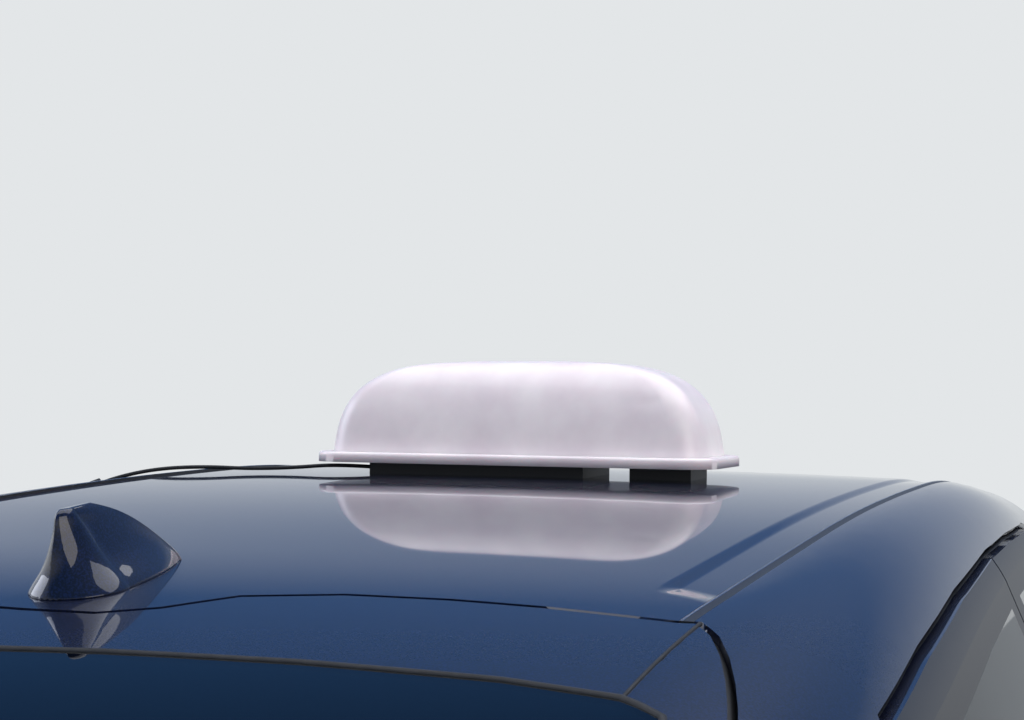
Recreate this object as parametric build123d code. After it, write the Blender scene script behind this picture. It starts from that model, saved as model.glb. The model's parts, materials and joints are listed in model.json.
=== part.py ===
from build123d import *
from build123d.topology import SkipClean
import math
import os

os.makedirs("parts", exist_ok=True)
# Faces are left as the cuts make them, which keeps the build short
SkipClean.clean = False

# A taxi cab: a five-door liftback with a blank roof sign and a fin aerial.
# Millimetres. X right, Y forward, Z up, with the origin on the ground under the middle of the car.
# The skin is two lofts, the lower body and the glasshouse. Every panel is cut from the shell
# between that skin and the same lofts set in by a wall, so that neighbours share one surface.

# Overall sizes
LENGTH = 4650.0
FRONT_OVERHANG = 930.0
WHEELBASE = 2690.0
FRONT_AXLE = LENGTH / 2 - FRONT_OVERHANG
REAR_AXLE = FRONT_AXLE - WHEELBASE

# Walls and gaps
BODY_WALL = 75.0
UPPER_WALL = 50.0
GLASS = 6.0
GAP = 6.0
TOP_GAP = 9.0
SKEW = 0.35
FLOOR_TOP = 250.0
GLASSHOUSE_FOOT = 700.0
TUMBLEHOME = 0.43

# Wheels
TYRE_R = 316.0
TYRE_WIDTH = 205.0
RIM_R = 206.0
RIM_WIDTH = 178.0
WHEEL_X = 770.0
FRONT_ARCH_R = 360.0
REAR_ARCH_R = 346.0
FRONT_WELL_X = 470.0
REAR_WELL_X = 640.0
KINGPIN_X = 735.0

SPOKES = 10
HUB_BORE = 14.0
DISC_R = 130.0
PIN_R = 12.0
FIT = 0.05
ARM_LOW = 221.0
ARM_HIGH = 411.0

# Doors and cabin
DOOR_SPLIT_Y = -165.0
SILL_Z = 290.0
NOSE_Z = 662.0
LID_GAP = 9.0
TAIL_SILL = 754.0
HINGE_X = 897.0
DRIVER_X = 370.0

# Roof fittings
HEADER_Y = 556.0
HEADER_ROW = 3
DITCH = 10.0
SIGN_Y = 21.0
SIGN_ROOF = 1459.4
SIGN_WIDTH = 526.0
SIGN_DEPTH = 190.0
SIGN_STAND = 14.0
SIGN_RIM = 13.0
SIGN_RISE = 117.0
SIGN_WALL = 3.0
AERIAL_Y = -972.0
AERIAL_FOOT = 1405.6
AERIAL_SLOPE = 5.4
LEAD_WIDTH = 5.0

# Sign dome: height, half length, half depth, corner radius
SIGN_ROWS = [
    (0, 246, 80, 34),
    (33, 242, 78, 33),
    (57, 234, 74, 32),
    (80, 219, 67, 30),
    (96, 197, 57, 27),
    (107, 172, 46, 24),
    (114, 130, 32, 18),
    (117, 86, 20, 12),
]

# Feet under the sign: x from, x to, half depth
SIGN_FEET = [(-194, 94, 55), (149, 226, 40)]

# The sign's lead, from under the rim to the gland in the left roof rail
LEAD = [
    (-194, -5, 1465), (-250, -14, 1468), (-305, -32, 1463), (-362, -50, 1461), (-420, -62, 1463), (-476, -84, 1460),
    (-525, -104, 1449), (-547, -112, 1440),
]

# Fin aerial: height, length, width, set back of its rear end
AERIAL_ROWS = [
    (-8, 172, 73, 0),
    (0, 171, 72, 0.5),
    (8, 162, 62, 3),
    (24, 136, 38, 7),
    (42, 102, 22, 11),
    (56, 66, 13, 14),
    (63, 36, 7, 20),
]

# Lower body: y, half width, underside, shoulder height, centre height
LOWER = [
    (2400, 850, 215, 640, 705),
    (1800, 893, 200, 825, 888),
    (1200, 905, 190, 918, 985),
    (600, 907, 185, 935, 1000),
    (0, 907, 185, 943, 1003),
    (-600, 907, 185, 952, 1005),
    (-1200, 905, 190, 963, 1008),
    (-1800, 893, 200, 978, 1013),
    (-2400, 850, 230, 985, 1018),
]

# Glasshouse: y, centre height, crown drop, half width at the ditch, drop to the cant rail, half width at the foot
UPPER = [
    (1330, 915, 62, 765, 118, 880),
    (1070, 1098, 48, 685, 113, 888),
    (810, 1276, 33, 608, 107, 891),
    (560, 1444, 17, 520, 112, 893),
    (310, 1458, 7, 488, 89, 894),
    (60, 1459.6, 5, 486, 86, 893),
    (-200, 1454.8, 5, 476, 85, 889),
    (-460, 1444.2, 5, 466, 84, 884),
    (-720, 1427.8, 5, 456, 84, 877),
    (-980, 1405, 5, 449, 84, 864),
    (-1240, 1352, 9, 475, 84, 845),
    (-1500, 1252, 18, 520, 84, 826),
    (-1760, 1148, 31, 570, 83, 806),
    (-2020, 1050, 43, 615, 81, 790),
    (-2400, 915, 55, 660, 80, 768),
]


def box(x0, x1, y0, y1, z0, z1):
    return Solid.make_box(x1 - x0, y1 - y0, z1 - z0, Plane((x0, y0, z0)))


def across(y, z, radius, x0, x1):
    """A round bar lying across the car."""
    return Solid.make_cylinder(radius, x1 - x0, Plane((x0, y, z), x_dir=(0, 1, 0), z_dir=(1, 0, 0)))


def rod(start, end, radius):
    axis = Vector(*end) - Vector(*start)
    return Solid.make_cylinder(radius, axis.length, Plane(start, z_dir=axis))


def prism(points, sweep):
    return Solid.extrude(Face(Wire.make_polygon([Vector(*p) for p in points])), Vector(*sweep))


def side_prism(points, x0, x1):
    """Drawn from the side as (y, z) and swept straight across from x0 to x1."""
    return prism([(x0, y, z) for y, z in points], (x1 - x0, 0, 0))


def top_prism(points, z0, z1):
    """Drawn from above as (x, y) and swept straight up from z0 to z1."""
    return prism([(x, y, z0) for x, y in points], (0, 0, z1 - z0))


def front_prism(points, y0, y1):
    """Drawn from the front as (x, z) and swept lengthwise from y0 to y1."""
    return prism([(x, y0, z) for x, z in points], (0, y1 - y0, 0))


def both(solid):
    return [solid, mirror(solid, about=Plane.YZ)]


def other(solid):
    return mirror(solid, about=Plane.YZ)


def largest(shape):
    return max(shape.solids(), key=lambda s: s.volume)


def save(node, *solids):
    parts = []
    for s in solids:
        parts.extend(s.solids())
    parts = [s for s in parts if s.volume > 50]
    export_step(parts[0] if len(parts) == 1 else Compound(parts), f"parts/{node}.step")


def section(runs):
    return Wire([Line(*p) if len(p) == 2 else ThreePointArc(*p) for p in runs])


def lower_section(y, half, under, shoulder, centre, inset):
    w = half - inset
    places = [(w - 62, under + inset * 0.8), (w, 600), (w - 48, shoulder - 8 - inset)]
    places += [(w - 64, shoulder + 10 - inset), (w - 122, shoulder + 20 - inset)]
    sill, side, edge, bend, top = [Vector(x, y, z) for x, z in places]
    sill_, side_, edge_, bend_, top_ = [Vector(-x, y, z) for x, z in places]
    crown = Vector(0, y, centre - inset)
    return section([(sill_, sill), (sill, side, edge), (edge, bend, top), (top, crown, top_),
                    (top_, bend_, edge_), (edge_, side_, sill_)])


def upper_section(y, centre, crown, ditch, drop, base, inset):
    foot_x = base - inset * 1.09
    cant_z = centre - drop - inset * 0.8
    cant_x = foot_x - TUMBLEHOME * (cant_z - GLASSHOUSE_FOOT)
    top_z = centre - inset
    edge_x, edge_z = ditch - inset * 0.7, top_z - crown
    out = Vector(edge_z - cant_z, 0, cant_x - edge_x) * 0.13
    bend_x, bend_z = (cant_x + edge_x) / 2 + out.X, (cant_z + edge_z) / 2 + out.Z
    places = [(foot_x, GLASSHOUSE_FOOT), (cant_x, cant_z), (bend_x, bend_z), (edge_x, edge_z)]
    foot, cant, bend, edge = [Vector(x, y, z) for x, z in places]
    foot_, cant_, bend_, edge_ = [Vector(-x, y, z) for x, z in places]
    return section([(foot_, foot), (foot, cant), (cant, bend, edge), (edge, Vector(0, y, top_z), edge_),
                    (edge_, bend_, cant_), (cant_, foot_)])


def lower_loft(inset=0.0):
    return Solid.make_loft([lower_section(*row, inset) for row in LOWER])


def upper_loft(inset=0.0):
    """The glasshouse: roof and back as one smooth loft, the windscreen part as another from the header."""
    roof = Solid.make_loft([upper_section(*row, inset) for row in UPPER[HEADER_ROW:]])
    return roof + Solid.make_loft([upper_section(*row, inset) for row in UPPER[:HEADER_ROW + 1]])


def plan_trim(inset=0.0):
    """The car's plan with bowed ends and rounded corners, as a tall block."""
    front, rear = LENGTH / 2 - inset, -LENGTH / 2 + inset
    wide, corner = 1000.0, 640.0 - inset * 0.4
    edges = [
        ThreePointArc((-corner, front - 85, 0), (0, front, 0), (corner, front - 85, 0)),
        ThreePointArc((corner, front - 85, 0), (800 - inset * 0.8, front - 185, 0), (915 - inset, front - 400, 0)),
        Line((915 - inset, front - 400, 0), (wide, front - 700, 0)),
        Line((wide, front - 700, 0), (wide, rear + 700, 0)),
        Line((wide, rear + 700, 0), (915 - inset, rear + 360, 0)),
        ThreePointArc((915 - inset, rear + 360, 0), (815 - inset * 0.8, rear + 150, 0), (corner, rear + 62, 0)),
        ThreePointArc((corner, rear + 62, 0), (0, rear, 0), (-corner, rear + 62, 0)),
        ThreePointArc((-corner, rear + 62, 0), (-815 + inset * 0.8, rear + 150, 0), (-915 + inset, rear + 360, 0)),
        Line((-915 + inset, rear + 360, 0), (-wide, rear + 700, 0)),
        Line((-wide, rear + 700, 0), (-wide, front - 700, 0)),
        Line((-wide, front - 700, 0), (-915 + inset, front - 400, 0)),
        ThreePointArc((-915 + inset, front - 400, 0), (-800 + inset * 0.8, front - 185, 0), (-corner, front - 85, 0)),
    ]
    return Solid.extrude(Face(Wire(edges)), Vector(0, 0, 1700))


def side_trim(inset=0.0):
    """The car's nose and tail profile seen from the side, swept across."""
    nose, tail = LENGTH / 2 + 5 - inset, -LENGTH / 2 - 5 + inset
    edges = [
        Line((0, tail + 60, 150), (0, nose - 120, 150)),
        ThreePointArc((0, nose - 120, 150), (0, nose - 20, 300), (0, nose, 470)),
        ThreePointArc((0, nose, 470), (0, nose - 22, 610), (0, nose - 100, 705 - inset)),
        Line((0, nose - 100, 705 - inset), (0, nose - 260, 1700)),
        Line((0, nose - 260, 1700), (0, tail + 110, 1700)),
        Line((0, tail + 110, 1700), (0, tail + 38, 1010 - inset * 0.5)),
        ThreePointArc((0, tail + 38, 1010 - inset * 0.5), (0, tail + 30, 880), (0, tail, 640)),
        ThreePointArc((0, tail, 640), (0, tail + 12, 400), (0, tail + 60, 150)),
    ]
    face = Face(Wire([e.moved(Location((-1100, 0, 0))) for e in edges]))
    return Solid.extrude(face, Vector(2200, 0, 0))


def hull(inset, wide_upper=None):
    """The whole car's outside, set in by a wall."""
    solid = lower_loft(inset) + upper_loft(inset if wide_upper is None else wide_upper)
    return largest(solid & plan_trim(inset) & side_trim(inset))


# Outlines. The doors are drawn on the car's own side; SIDE_X gives the half width at each height,
# so that a slanted cut meets the skin on the drawn line.
SIDE_X = [(150, 897), (940, 897), (985, 770), (1200, 678), (1370, 600), (1400, 572)]
OPENING = [
    (900, 290), (900, 1108), (810, 1193), (560, 1356), (310, 1393), (60, 1397), (-165, 1395), (-460, 1384),
    (-720, 1368), (-916, 1351), (-1010, 1290), (-1120, 1160), (-1165, 1010), (-1130, 820), (-985, 640),
    (-905, 500), (-885, 290),
]
SPLIT_AT = 6
FRONT_WINDOW = [(775, 1010), (760, 1150), (545, 1302), (305, 1344), (60, 1350), (-112, 1349), (-112, 1010)]
REAR_WINDOW = [(-218, 1010), (-218, 1347), (-460, 1338), (-720, 1322), (-850, 1306), (-930, 1262), (-1030, 1140),
               (-1070, 1020)]
SEAM = [(0, -993), (55, -991), (92, -968), (128, -922), (200, -897), (280, -891), (350, -894), (447, -907)]
LID_SIDE = [(462, -905), (480, -932), (495, -968), (508, -1008), (517, -1041), (535, -1120), (560, -1250),
            (592, -1500), (614, -1760), (630, -2020), (640, -2200), (640, -2420)]
BACKLIGHT = [(0, -1086), (114, -1072), (250, -1062), (381, -1061), (457, -1071), (486, -1088), (500, -1130),
             (524, -1250), (555, -1500), (576, -1760), (566, -1930), (540, -1950), (0, -1972)]
SCREEN = [(0, 566), (250, 568), (480, 576), (505, 600), (585, 810), (660, 1070), (668, 1120), (600, 1166),
          (350, 1208), (0, 1220)]
DITCH_LINE = [(447, -907), (452, -816), (460, -583), (468, -307), (480, 18), (487, 310), (498, 556)]
BONNET = [(0, 1284), (350, 1280), (600, 1272), (722, 1262), (724, 1500), (716, 1900), (704, 2004), (552, 2150),
          (420, 2200), (420, 2420), (0, 2420)]
BONNET_UNDER = [(1200, 800), (1600, 790), (1850, 770), (2004, 745), (2100, 728), (2200, 706), (2420, 680)]
BUMPER_CORE = [(0, 2280), (330, 2262), (640, 2196), (760, 2120), (848, 1925), (850, 1700), (850, -1650), (848, -1965),
               (770, -2150), (620, -2222), (330, -2262), (0, -2280)]


def half_width(z):
    for (z0, x0), (z1, x1) in zip(SIDE_X, SIDE_X[1:]):
        if z <= z1:
            return x0 + (x1 - x0) * (z - z0) / (z1 - z0)
    return SIDE_X[-1][1]


def grown(points, d):
    """A polygon with every side moved out by d."""
    area = sum(p[0] * q[1] - q[0] * p[1] for p, q in zip(points, points[1:] + points[:1]))
    side = 1 if area > 0 else -1
    result = []
    for i, (x, y) in enumerate(points):
        (xa, ya), (xb, yb) = points[i - 1], points[(i + 1) % len(points)]
        la, lb = math.hypot(x - xa, y - ya), math.hypot(xb - x, yb - y)
        na = ((y - ya) / la * side, -(x - xa) / la * side)
        nb = ((yb - y) / lb * side, -(xb - x) / lb * side)
        k = d / (1 + na[0] * nb[0] + na[1] * nb[1])
        result.append((x + (na[0] + nb[0]) * k, y + (na[1] + nb[1]) * k))
    return result


def whole(half):
    """A plan outline from its right half, listed from the middle out and back to the middle."""
    return half + [(-x, y) for x, y in reversed(half) if x > 0]


def door_prism(points, x0=536.0, d=0.0):
    """A door outline swept along the skewed edge direction, so that every edge opens away."""
    drawn = [(y - SKEW * (HINGE_X - half_width(z)), z) for y, z in points]
    if d:
        drawn = grown(drawn, d)
    start = SKEW * (HINGE_X - x0)
    return prism([(x0, y + start, z) for y, z in drawn], (1000 - x0, -SKEW * (1000 - x0), 0))


OUTER = hull(0)
ROOM = hull(BODY_WALL, UPPER_WALL)
GLASS_OUT = upper_loft(GLASS)

# The hollow inside: a cabin with its tunnel, wheel houses and middle posts left standing, and the engine bay
bonnet_area = whole(BONNET)
bonnet_hole = [(x, min(y, 2420)) for x, y in grown(bonnet_area, LID_GAP)]
lid_space = side_prism(BONNET_UNDER + [(2420, 1300), (1200, 1300)], -1000, 1000)
post = front_prism([(700, FLOOR_TOP - 5), (762, FLOOR_TOP - 5), (790, 430), (790, 700), (748, 860), (706, 930), (512, 1300),
                    (505, 1400), (455, 1400), (455, 1300), (640, 930), (715, 860)], DOOR_SPLIT_Y - 60, DOOR_SPLIT_Y + 60)
house = across(REAR_AXLE, TYRE_R, REAR_ARCH_R + 10, REAR_WELL_X - 10, 790) & box(0, 1000, -2400, 0, 240, 800)
tunnel = box(-150, 150, -1900, 1060, 200, FLOOR_TOP + 80)
axle_cover = box(-660, 660, -1370, -1220, 200, FLOOR_TOP + 85)
cabin = (ROOM & box(-840, 840, -2300, 1020, FLOOR_TOP, 1500)).cut(tunnel, axle_cover, *both(house), *both(post))
bonnet_pit = (top_prism(bonnet_hole, 690, 1300) & box(-1000, 1000, 1200, 2090, 600, 1400)) + (
    top_prism(bonnet_hole, 600, 1300) & lid_space.moved(Location((0, 0, -LID_GAP))))
bay = ROOM & (box(-450, 450, 1110, 2225, FLOOR_TOP, 700) + bonnet_pit)
SHELL = OUTER - cabin - bay


def skin(region, core):
    """The part of a region between the outside and a core."""
    return (OUTER & region) - core


# Doors with their glasses, drawn on the right and mirrored
front_points = [(DOOR_SPLIT_Y + GAP / 2, SILL_Z)] + OPENING[:SPLIT_AT] + [(DOOR_SPLIT_Y + GAP / 2, 1395)]
rear_points = [(DOOR_SPLIT_Y - GAP / 2, SILL_Z), (DOOR_SPLIT_Y - GAP / 2, 1395)] + OPENING[SPLIT_AT + 1:]
screen_area = whole(SCREEN)
for name, points, window, handle_y in [
    ("front", front_points, FRONT_WINDOW, -20.0),
    ("rear", rear_points, REAR_WINDOW, -960.0),
]:
    points = [(y, z - TOP_GAP + GAP if z > 1100 else z) for y, z in points]
    pane = door_prism(window, x0=500.0)
    grip = box(HINGE_X - 25, HINGE_X + 14, handle_y - 10, handle_y + 160, 838, 860)
    grip = grip - box(HINGE_X - 30, HINGE_X + 2, handle_y + 12, handle_y + 138, 830, 870)
    door = largest((SHELL & (door_prism(points) - post)) - pane - top_prism(grown(screen_area, TOP_GAP), 985, 1600))
    door = door + grip
    glass = largest(skin(pane, GLASS_OUT))
    save(f"door_{name}_right", door)
    save(f"door_{name}_left", other(door))
    save(f"door_glass_{name}_right", glass)
    save(f"door_glass_{name}_left", other(glass))

# Rubber buffers on the middle posts, which the shut doors rest on
buffers = [across(y, z, 11, 785, 880) & ROOM for y in (DOOR_SPLIT_Y + 35, DOOR_SPLIT_Y - 35) for z in (520, 660)]
buffers = [b - post for b in buffers]

# Roof panel and the bright mouldings in its ditches
roof_area = whole(SEAM + DITCH_LINE[1:] + [(0, HEADER_Y)])
save("roof_panel", largest(SHELL & top_prism(roof_area, 1300, 1600)))
ditch_out = [(x + DITCH, y) for x, y in DITCH_LINE]
ditch_bed = [(y, centre - crown - DITCH) for y, centre, crown, *_ in UPPER[3:12]]
ditch_bed = side_prism(ditch_bed + [(UPPER[11][0], 1100), (HEADER_Y, 1100)], 400, 560)
moulding_region = top_prism(DITCH_LINE + ditch_out[::-1], 1200, 1600) - ditch_bed
save("roof_mouldings", *both(largest(OUTER & moulding_region)))

# Tailgate and backlight, with the rubber buffers that the tailgate shuts on
lid_area = whole(SEAM + LID_SIDE + [(0, -2420)])
tail_area = [(x, -2420 if y < -2400 else y) for x, y in grown(lid_area, -GAP)]
backlight = top_prism(whole(BACKLIGHT), 1020, 1600)
save("tailgate", largest((SHELL & top_prism(tail_area, TAIL_SILL + GAP, 1600)) - backlight))
save("tailgate_glass", largest(skin(backlight, GLASS_OUT)))
buffers += [rod((400, -2240, TAIL_SILL), (400, -2240, TAIL_SILL + GAP), 14)]

# Windscreen
screen = top_prism(screen_area, 985, 1600)
save("windscreen", largest(skin(screen, GLASS_OUT)))

# Bonnet, with the buffers under its nose
lid_gap_space = lid_space.moved(Location((0, 0, -LID_GAP))) - lid_space
save("bonnet", largest(skin(top_prism(bonnet_area, 600, 1300) & lid_space, ROOM)))
buffers += [rod((330, 2235, 660), (330, 2235, 760), 12) & lid_gap_space]
save("buffers", *[b for buffer in buffers for b in both(buffer)])

# Lamps, grilles, bumpers and blank plates
lamp_side = sorted([p for p in bonnet_hole if p[0] > 0 and p[1] > 1990], key=lambda p: p[1])
lamps = both(top_prism(lamp_side + [(1000, 2420), (1000, 1960), (760, 1960)], 604, 900))
tail_lamps = both(box(652, 1000, -2400, -2040, 850, 968))
save("headlamps", *[SHELL & lamp for lamp in lamps])
save("tail_lamps", *[SHELL & lamp for lamp in tail_lamps])
bumper_core = top_prism(whole(BUMPER_CORE), 100, 900)
front_zone = (box(-1000, 1000, 1800, 2400, 150, 600) + box(-425, 425, 2000, 2400, 590, NOSE_Z)) - bumper_core
rear_zone = box(-1000, 1000, -2400, -1700, 150, TAIL_SILL) - bumper_core
upper_grille = front_prism([(-400, 575), (400, 575), (372, 650), (-372, 650)], 2150, 2400)
lower_grille = front_prism([(-430, 290), (430, 290), (470, 415), (-470, 415)], 2150, 2400)
plate_front = box(-262, 262, 2309, 2400, 440, 555)
plate_rear = box(-262, 262, -2400, -2309, 560, 675)
slots = [box(-365, 365, 2100, 2312, z - 4, z + 4) for z in (592, 609, 626, 309, 327, 345, 363, 381, 399)]
save("front_bumper", (OUTER & front_zone).cut(upper_grille, lower_grille, plate_front))
save("grilles", *[(OUTER & (grille - bumper_core)).cut(*slots) for grille in (upper_grille, lower_grille)])
save("rear_bumper", (OUTER & rear_zone) - plate_rear)
save("number_plates", box(-260, 260, 2309, 2313, 442, 553), box(-260, 260, -2313, -2309, 562, 673))

# Body shell: what is left once everything let into it is taken out
door_hole = door_prism(grown(OPENING, GAP), x0=530.0) - post
body = SHELL
for tools in (
    [front_zone, upper_grille, lower_grille], [rear_zone], lamps, tail_lamps, both(door_hole),
    [top_prism(roof_area, 1300, 1600), screen], both(moulding_region), [top_prism(lid_area, TAIL_SILL, 1600)],
    [bonnet_pit],
    [box(-105, 105, -1700, 1050, 100, 300), box(-650, 650, -1350, -1240, 100, 305)],
    both(across(FRONT_AXLE, TYRE_R, FRONT_ARCH_R, FRONT_WELL_X, 1000)),
    both(box(FRONT_WELL_X, 1000, FRONT_AXLE - FRONT_ARCH_R, FRONT_AXLE + FRONT_ARCH_R, 100, TYRE_R)),
    both(across(REAR_AXLE, TYRE_R, REAR_ARCH_R, REAR_WELL_X, 1000)),
    both(box(REAR_WELL_X, 1000, REAR_AXLE - REAR_ARCH_R, REAR_AXLE + REAR_ARCH_R, 100, TYRE_R)),
):
    body = body.cut(*tools)
save("body_shell", largest(body))

# Wheels: tyre, rim with spokes, hub and brake disc
def wheel_set(y):
    tread, wall = TYRE_WIDTH / 2, TYRE_WIDTH / 2 - 14
    profile = [(RIM_R, -wall + 6), (RIM_R, wall - 6), (TYRE_R - 62, tread), (TYRE_R - 16, tread - 6), (TYRE_R, tread - 24),
               (TYRE_R, -tread + 24), (TYRE_R - 16, -tread + 6), (TYRE_R - 62, -tread)]
    axis = Axis((WHEEL_X, y, TYRE_R), (1, 0, 0))

    def turned(points):
        face = Face(Wire.make_polygon([Vector(WHEEL_X + x, y, TYRE_R + r) for r, x in points]))
        return Solid.revolve(face, 360, axis)

    tyre = turned(profile)
    half = RIM_WIDTH / 2
    rim = turned([(RIM_R, -half), (RIM_R, half), (RIM_R - 6, half), (RIM_R - 14, half - 16), (RIM_R - 14, -half + 16),
                  (RIM_R - 6, -half)])
    hub = turned([(HUB_BORE, -10), (62, -10), (62, 30), (70, 36), (70, 50), (HUB_BORE, 50)])
    disc = turned([(60, 4), (DISC_R, 4), (DISC_R, 26), (60, 26)])
    outline = [(-25, 60), (25, 60), (17, RIM_R - 8), (-17, RIM_R - 8)]
    spoke = prism([(WHEEL_X + 34, y + a, TYRE_R + b) for a, b in outline], (26, 0, 0))
    rim = rim.fuse(hub, disc, *[spoke.rotate(axis, 360 / SPOKES * i) for i in range(SPOKES)])
    rim = rim - across(y, TYRE_R, HUB_BORE, WHEEL_X - 30, WHEEL_X + 60)
    return tyre, rim


for place, y in [("front", FRONT_AXLE), ("rear", REAR_AXLE)]:
    tyre, rim = wheel_set(y)
    save(f"tyre_{place}_right", tyre)
    save(f"tyre_{place}_left", other(tyre))
    save(f"wheel_{place}_right", rim)
    save(f"wheel_{place}_left", other(rim))

# Steering knuckles: an upright that turns in the eyes of two arms, with the wheel's spindle
pin = rod((KINGPIN_X, FRONT_AXLE, ARM_LOW - 22), (KINGPIN_X, FRONT_AXLE, ARM_HIGH + 22), PIN_R)
upright = rod((KINGPIN_X, FRONT_AXLE, ARM_LOW + 16), (KINGPIN_X, FRONT_AXLE, ARM_HIGH - 16), 19)
boss = across(FRONT_AXLE, TYRE_R, 34, KINGPIN_X - 6, WHEEL_X - 31)
spindle = across(FRONT_AXLE, TYRE_R, HUB_BORE - FIT, KINGPIN_X, WHEEL_X + 49)
knuckle = pin.fuse(upright, boss, spindle)
save("knuckle_right", knuckle)
save("knuckle_left", other(knuckle))

# Suspension arms at the front, and the rear beam with its stub axles
arms = []
for z in (ARM_LOW, ARM_HIGH):
    arm = prism([(FRONT_WELL_X, FRONT_AXLE - 90, z - 12), (KINGPIN_X, FRONT_AXLE - 20, z - 12),
                 (KINGPIN_X, FRONT_AXLE + 20, z - 12), (FRONT_WELL_X, FRONT_AXLE + 90, z - 12)], (0, 0, 24))
    window = prism([(FRONT_WELL_X + 30, FRONT_AXLE - 50, z - 20), (KINGPIN_X - 70, FRONT_AXLE - 12, z - 20),
                    (KINGPIN_X - 70, FRONT_AXLE + 12, z - 20), (FRONT_WELL_X + 30, FRONT_AXLE + 50, z - 20)], (0, 0, 40))
    eye = rod((KINGPIN_X, FRONT_AXLE, z - 12), (KINGPIN_X, FRONT_AXLE, z + 12), 30)
    hole = rod((KINGPIN_X, FRONT_AXLE, z - 20), (KINGPIN_X, FRONT_AXLE, z + 20), PIN_R + FIT)
    arms.append(((arm - window) + eye) - hole)
save("suspension_arms", *[s for arm in arms for s in both(arm)])
beam = across(REAR_AXLE, 262, 30, -676, 676)
for sign in (-1, 1):
    plate = box(sign * 664 - 12, sign * 664 + 12, REAR_AXLE - 45, REAR_AXLE + 45, 216, 366)
    reach = sorted((sign * 664, sign * (WHEEL_X + 49)))
    seat_block = box(sign * 500 - 40, sign * 500 + 40, REAR_AXLE - 35, REAR_AXLE + 35, 262, 305)
    beam = beam.fuse(plate, seat_block, across(REAR_AXLE, TYRE_R, HUB_BORE - FIT, *reach))
save("rear_axle", beam)

# Engine block, exhaust
save("engine_block", box(-330, 330, 1300, 1800, FLOOR_TOP + 10.3, 640))
pipe = rod((0, 1000, 176), (0, -1560, 176), 24)
silencer = box(-230, 230, -1980, -1560, 120, 184)
tail = rod((170, -1980, 152), (170, -2262, 152), 26)
hangers = [box(-12, 12, y - 15, y + 15, 176, 300) for y in (850, -500, -1450)]
save("exhaust", pipe.fuse(silencer, tail, *hangers) - rod((170, -2040, 152), (170, -2270, 152), 23))

# Cabin: dashboard, steering wheel, seats and load cover
dash_side = [(1020, 640), (1020, 962), (900, 975), (770, 955), (705, 900), (700, 820), (760, 700), (860, 640)]
dashboard = side_prism(dash_side, -715, 715)
save("dashboard", dashboard)
rim_plane = Plane((DRIVER_X, 560, 870), x_dir=(1, 0, 0), z_dir=(0, -math.cos(math.radians(28)), math.sin(math.radians(28))))
ring = Solid.make_torus(180, 15, rim_plane)
centre = rim_plane.origin
hub = Solid.make_cylinder(52, 30, rim_plane.offset(-15))
column = rod(centre - rim_plane.z_dir * 10, centre - rim_plane.z_dir * 175, 32)
spokes = [rod(centre, centre + rim_plane.x_dir * (172 * math.cos(a)) + rim_plane.y_dir * (172 * math.sin(a)), 11)
          for a in (0, math.pi, -math.pi / 2)]
save("steering_wheel", ring.fuse(hub, column, *spokes) - dashboard)


def seat(x0, x1, hip_y, back_y):
    """A cushion, a raked back and a head rest, each its own block."""
    cushion = side_prism([(back_y + 90, FLOOR_TOP), (hip_y, FLOOR_TOP), (hip_y + 25, 400), (hip_y, 445),
                          (hip_y - 60, 455), (back_y + 60, 420)], x0, x1)
    back = side_prism([(back_y + 100, 400), (back_y + 90, 560), (back_y - 10, 880), (back_y - 55, 905),
                       (back_y - 105, 880), (back_y - 60, 560), (back_y - 30, 400)], x0 + 12, x1 - 12)
    head = side_prism([(back_y - 50, 925), (back_y - 62, 1080), (back_y - 100, 1095), (back_y - 135, 1070),
                       (back_y - 120, 925)], (x0 + x1) / 2 - 125, (x0 + x1) / 2 + 125)
    posts = [rod(((x0 + x1) / 2 + d, back_y - 85, 880), ((x0 + x1) / 2 + d, back_y - 90, 940), 6) for d in (-55, 55)]
    return cushion.fuse(back, head, *posts)


front_seat = seat(156, 604, 560, 90)
save("front_seats", *both(front_seat))
rear_seat = seat(-620, 620, -330, -790) - box(-151, 151, -900, 0, 200, FLOOR_TOP + 81)
save("rear_seat", rear_seat)
save("load_cover", largest(box(-630, 630, -1880, -870, 880, 892) - rear_seat))

# Door mirrors
housing = box(905, 1040, 768, 848, 1000, 1112)
housing = housing.fillet(24, housing.edges())
mirror_arm = box(846, 925, 788, 832, 930, 1016)
door_mirror = largest(housing.fuse(mirror_arm) - OUTER)
save("mirror_right", door_mirror)
save("mirror_left", other(door_mirror))

# Wipers resting on the windscreen
WIPER_TOP = upper_loft(-8)
wipers = []
for x0, x1 in ((-470, 80), (60, 560)):
    blade = prism([(x0, 1204, 985), (x1, 1150, 985), (x1, 1140, 985), (x0, 1194, 985)], (0, 0, 200))
    wipers.append((blade & WIPER_TOP) - OUTER)
save("wipers", *wipers)

# Roof sign: a hollow translucent dome on a rim, standing on dark feet; its face is blank
rim_z = SIGN_ROOF + SIGN_STAND
dome_z = rim_z + SIGN_RIM


def rounded(half_x, half_y, radius, z):
    """A rounded rectangle round the sign's centre, starting at the same corner each time."""
    x, y, r = half_x, half_y, radius
    q = r * (1 - math.sqrt(0.5))
    p = [(x - r, -y), (x - q, -y + q), (x, -y + r), (x, y - r), (x - q, y - q), (x - r, y), (-x + r, y), (-x + q, y - q),
         (-x, y - r), (-x, -y + r), (-x + q, -y + q), (-x + r, -y)]
    v = [Vector(a, SIGN_Y + b, z) for a, b in p]
    edges = []
    for i in range(0, 12, 3):
        edges += [ThreePointArc(v[i], v[i + 1], v[i + 2]), Line(v[i + 2], v[(i + 3) % 12])]
    return Wire(edges)


def dome(inset, top_inset):
    rows = [(rounded(a - inset, b - inset, max(r - inset, 6), dome_z + h * (SIGN_RISE - top_inset) / SIGN_RISE))
            for h, a, b, r in SIGN_ROWS]
    return Solid.make_loft(rows)


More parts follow.
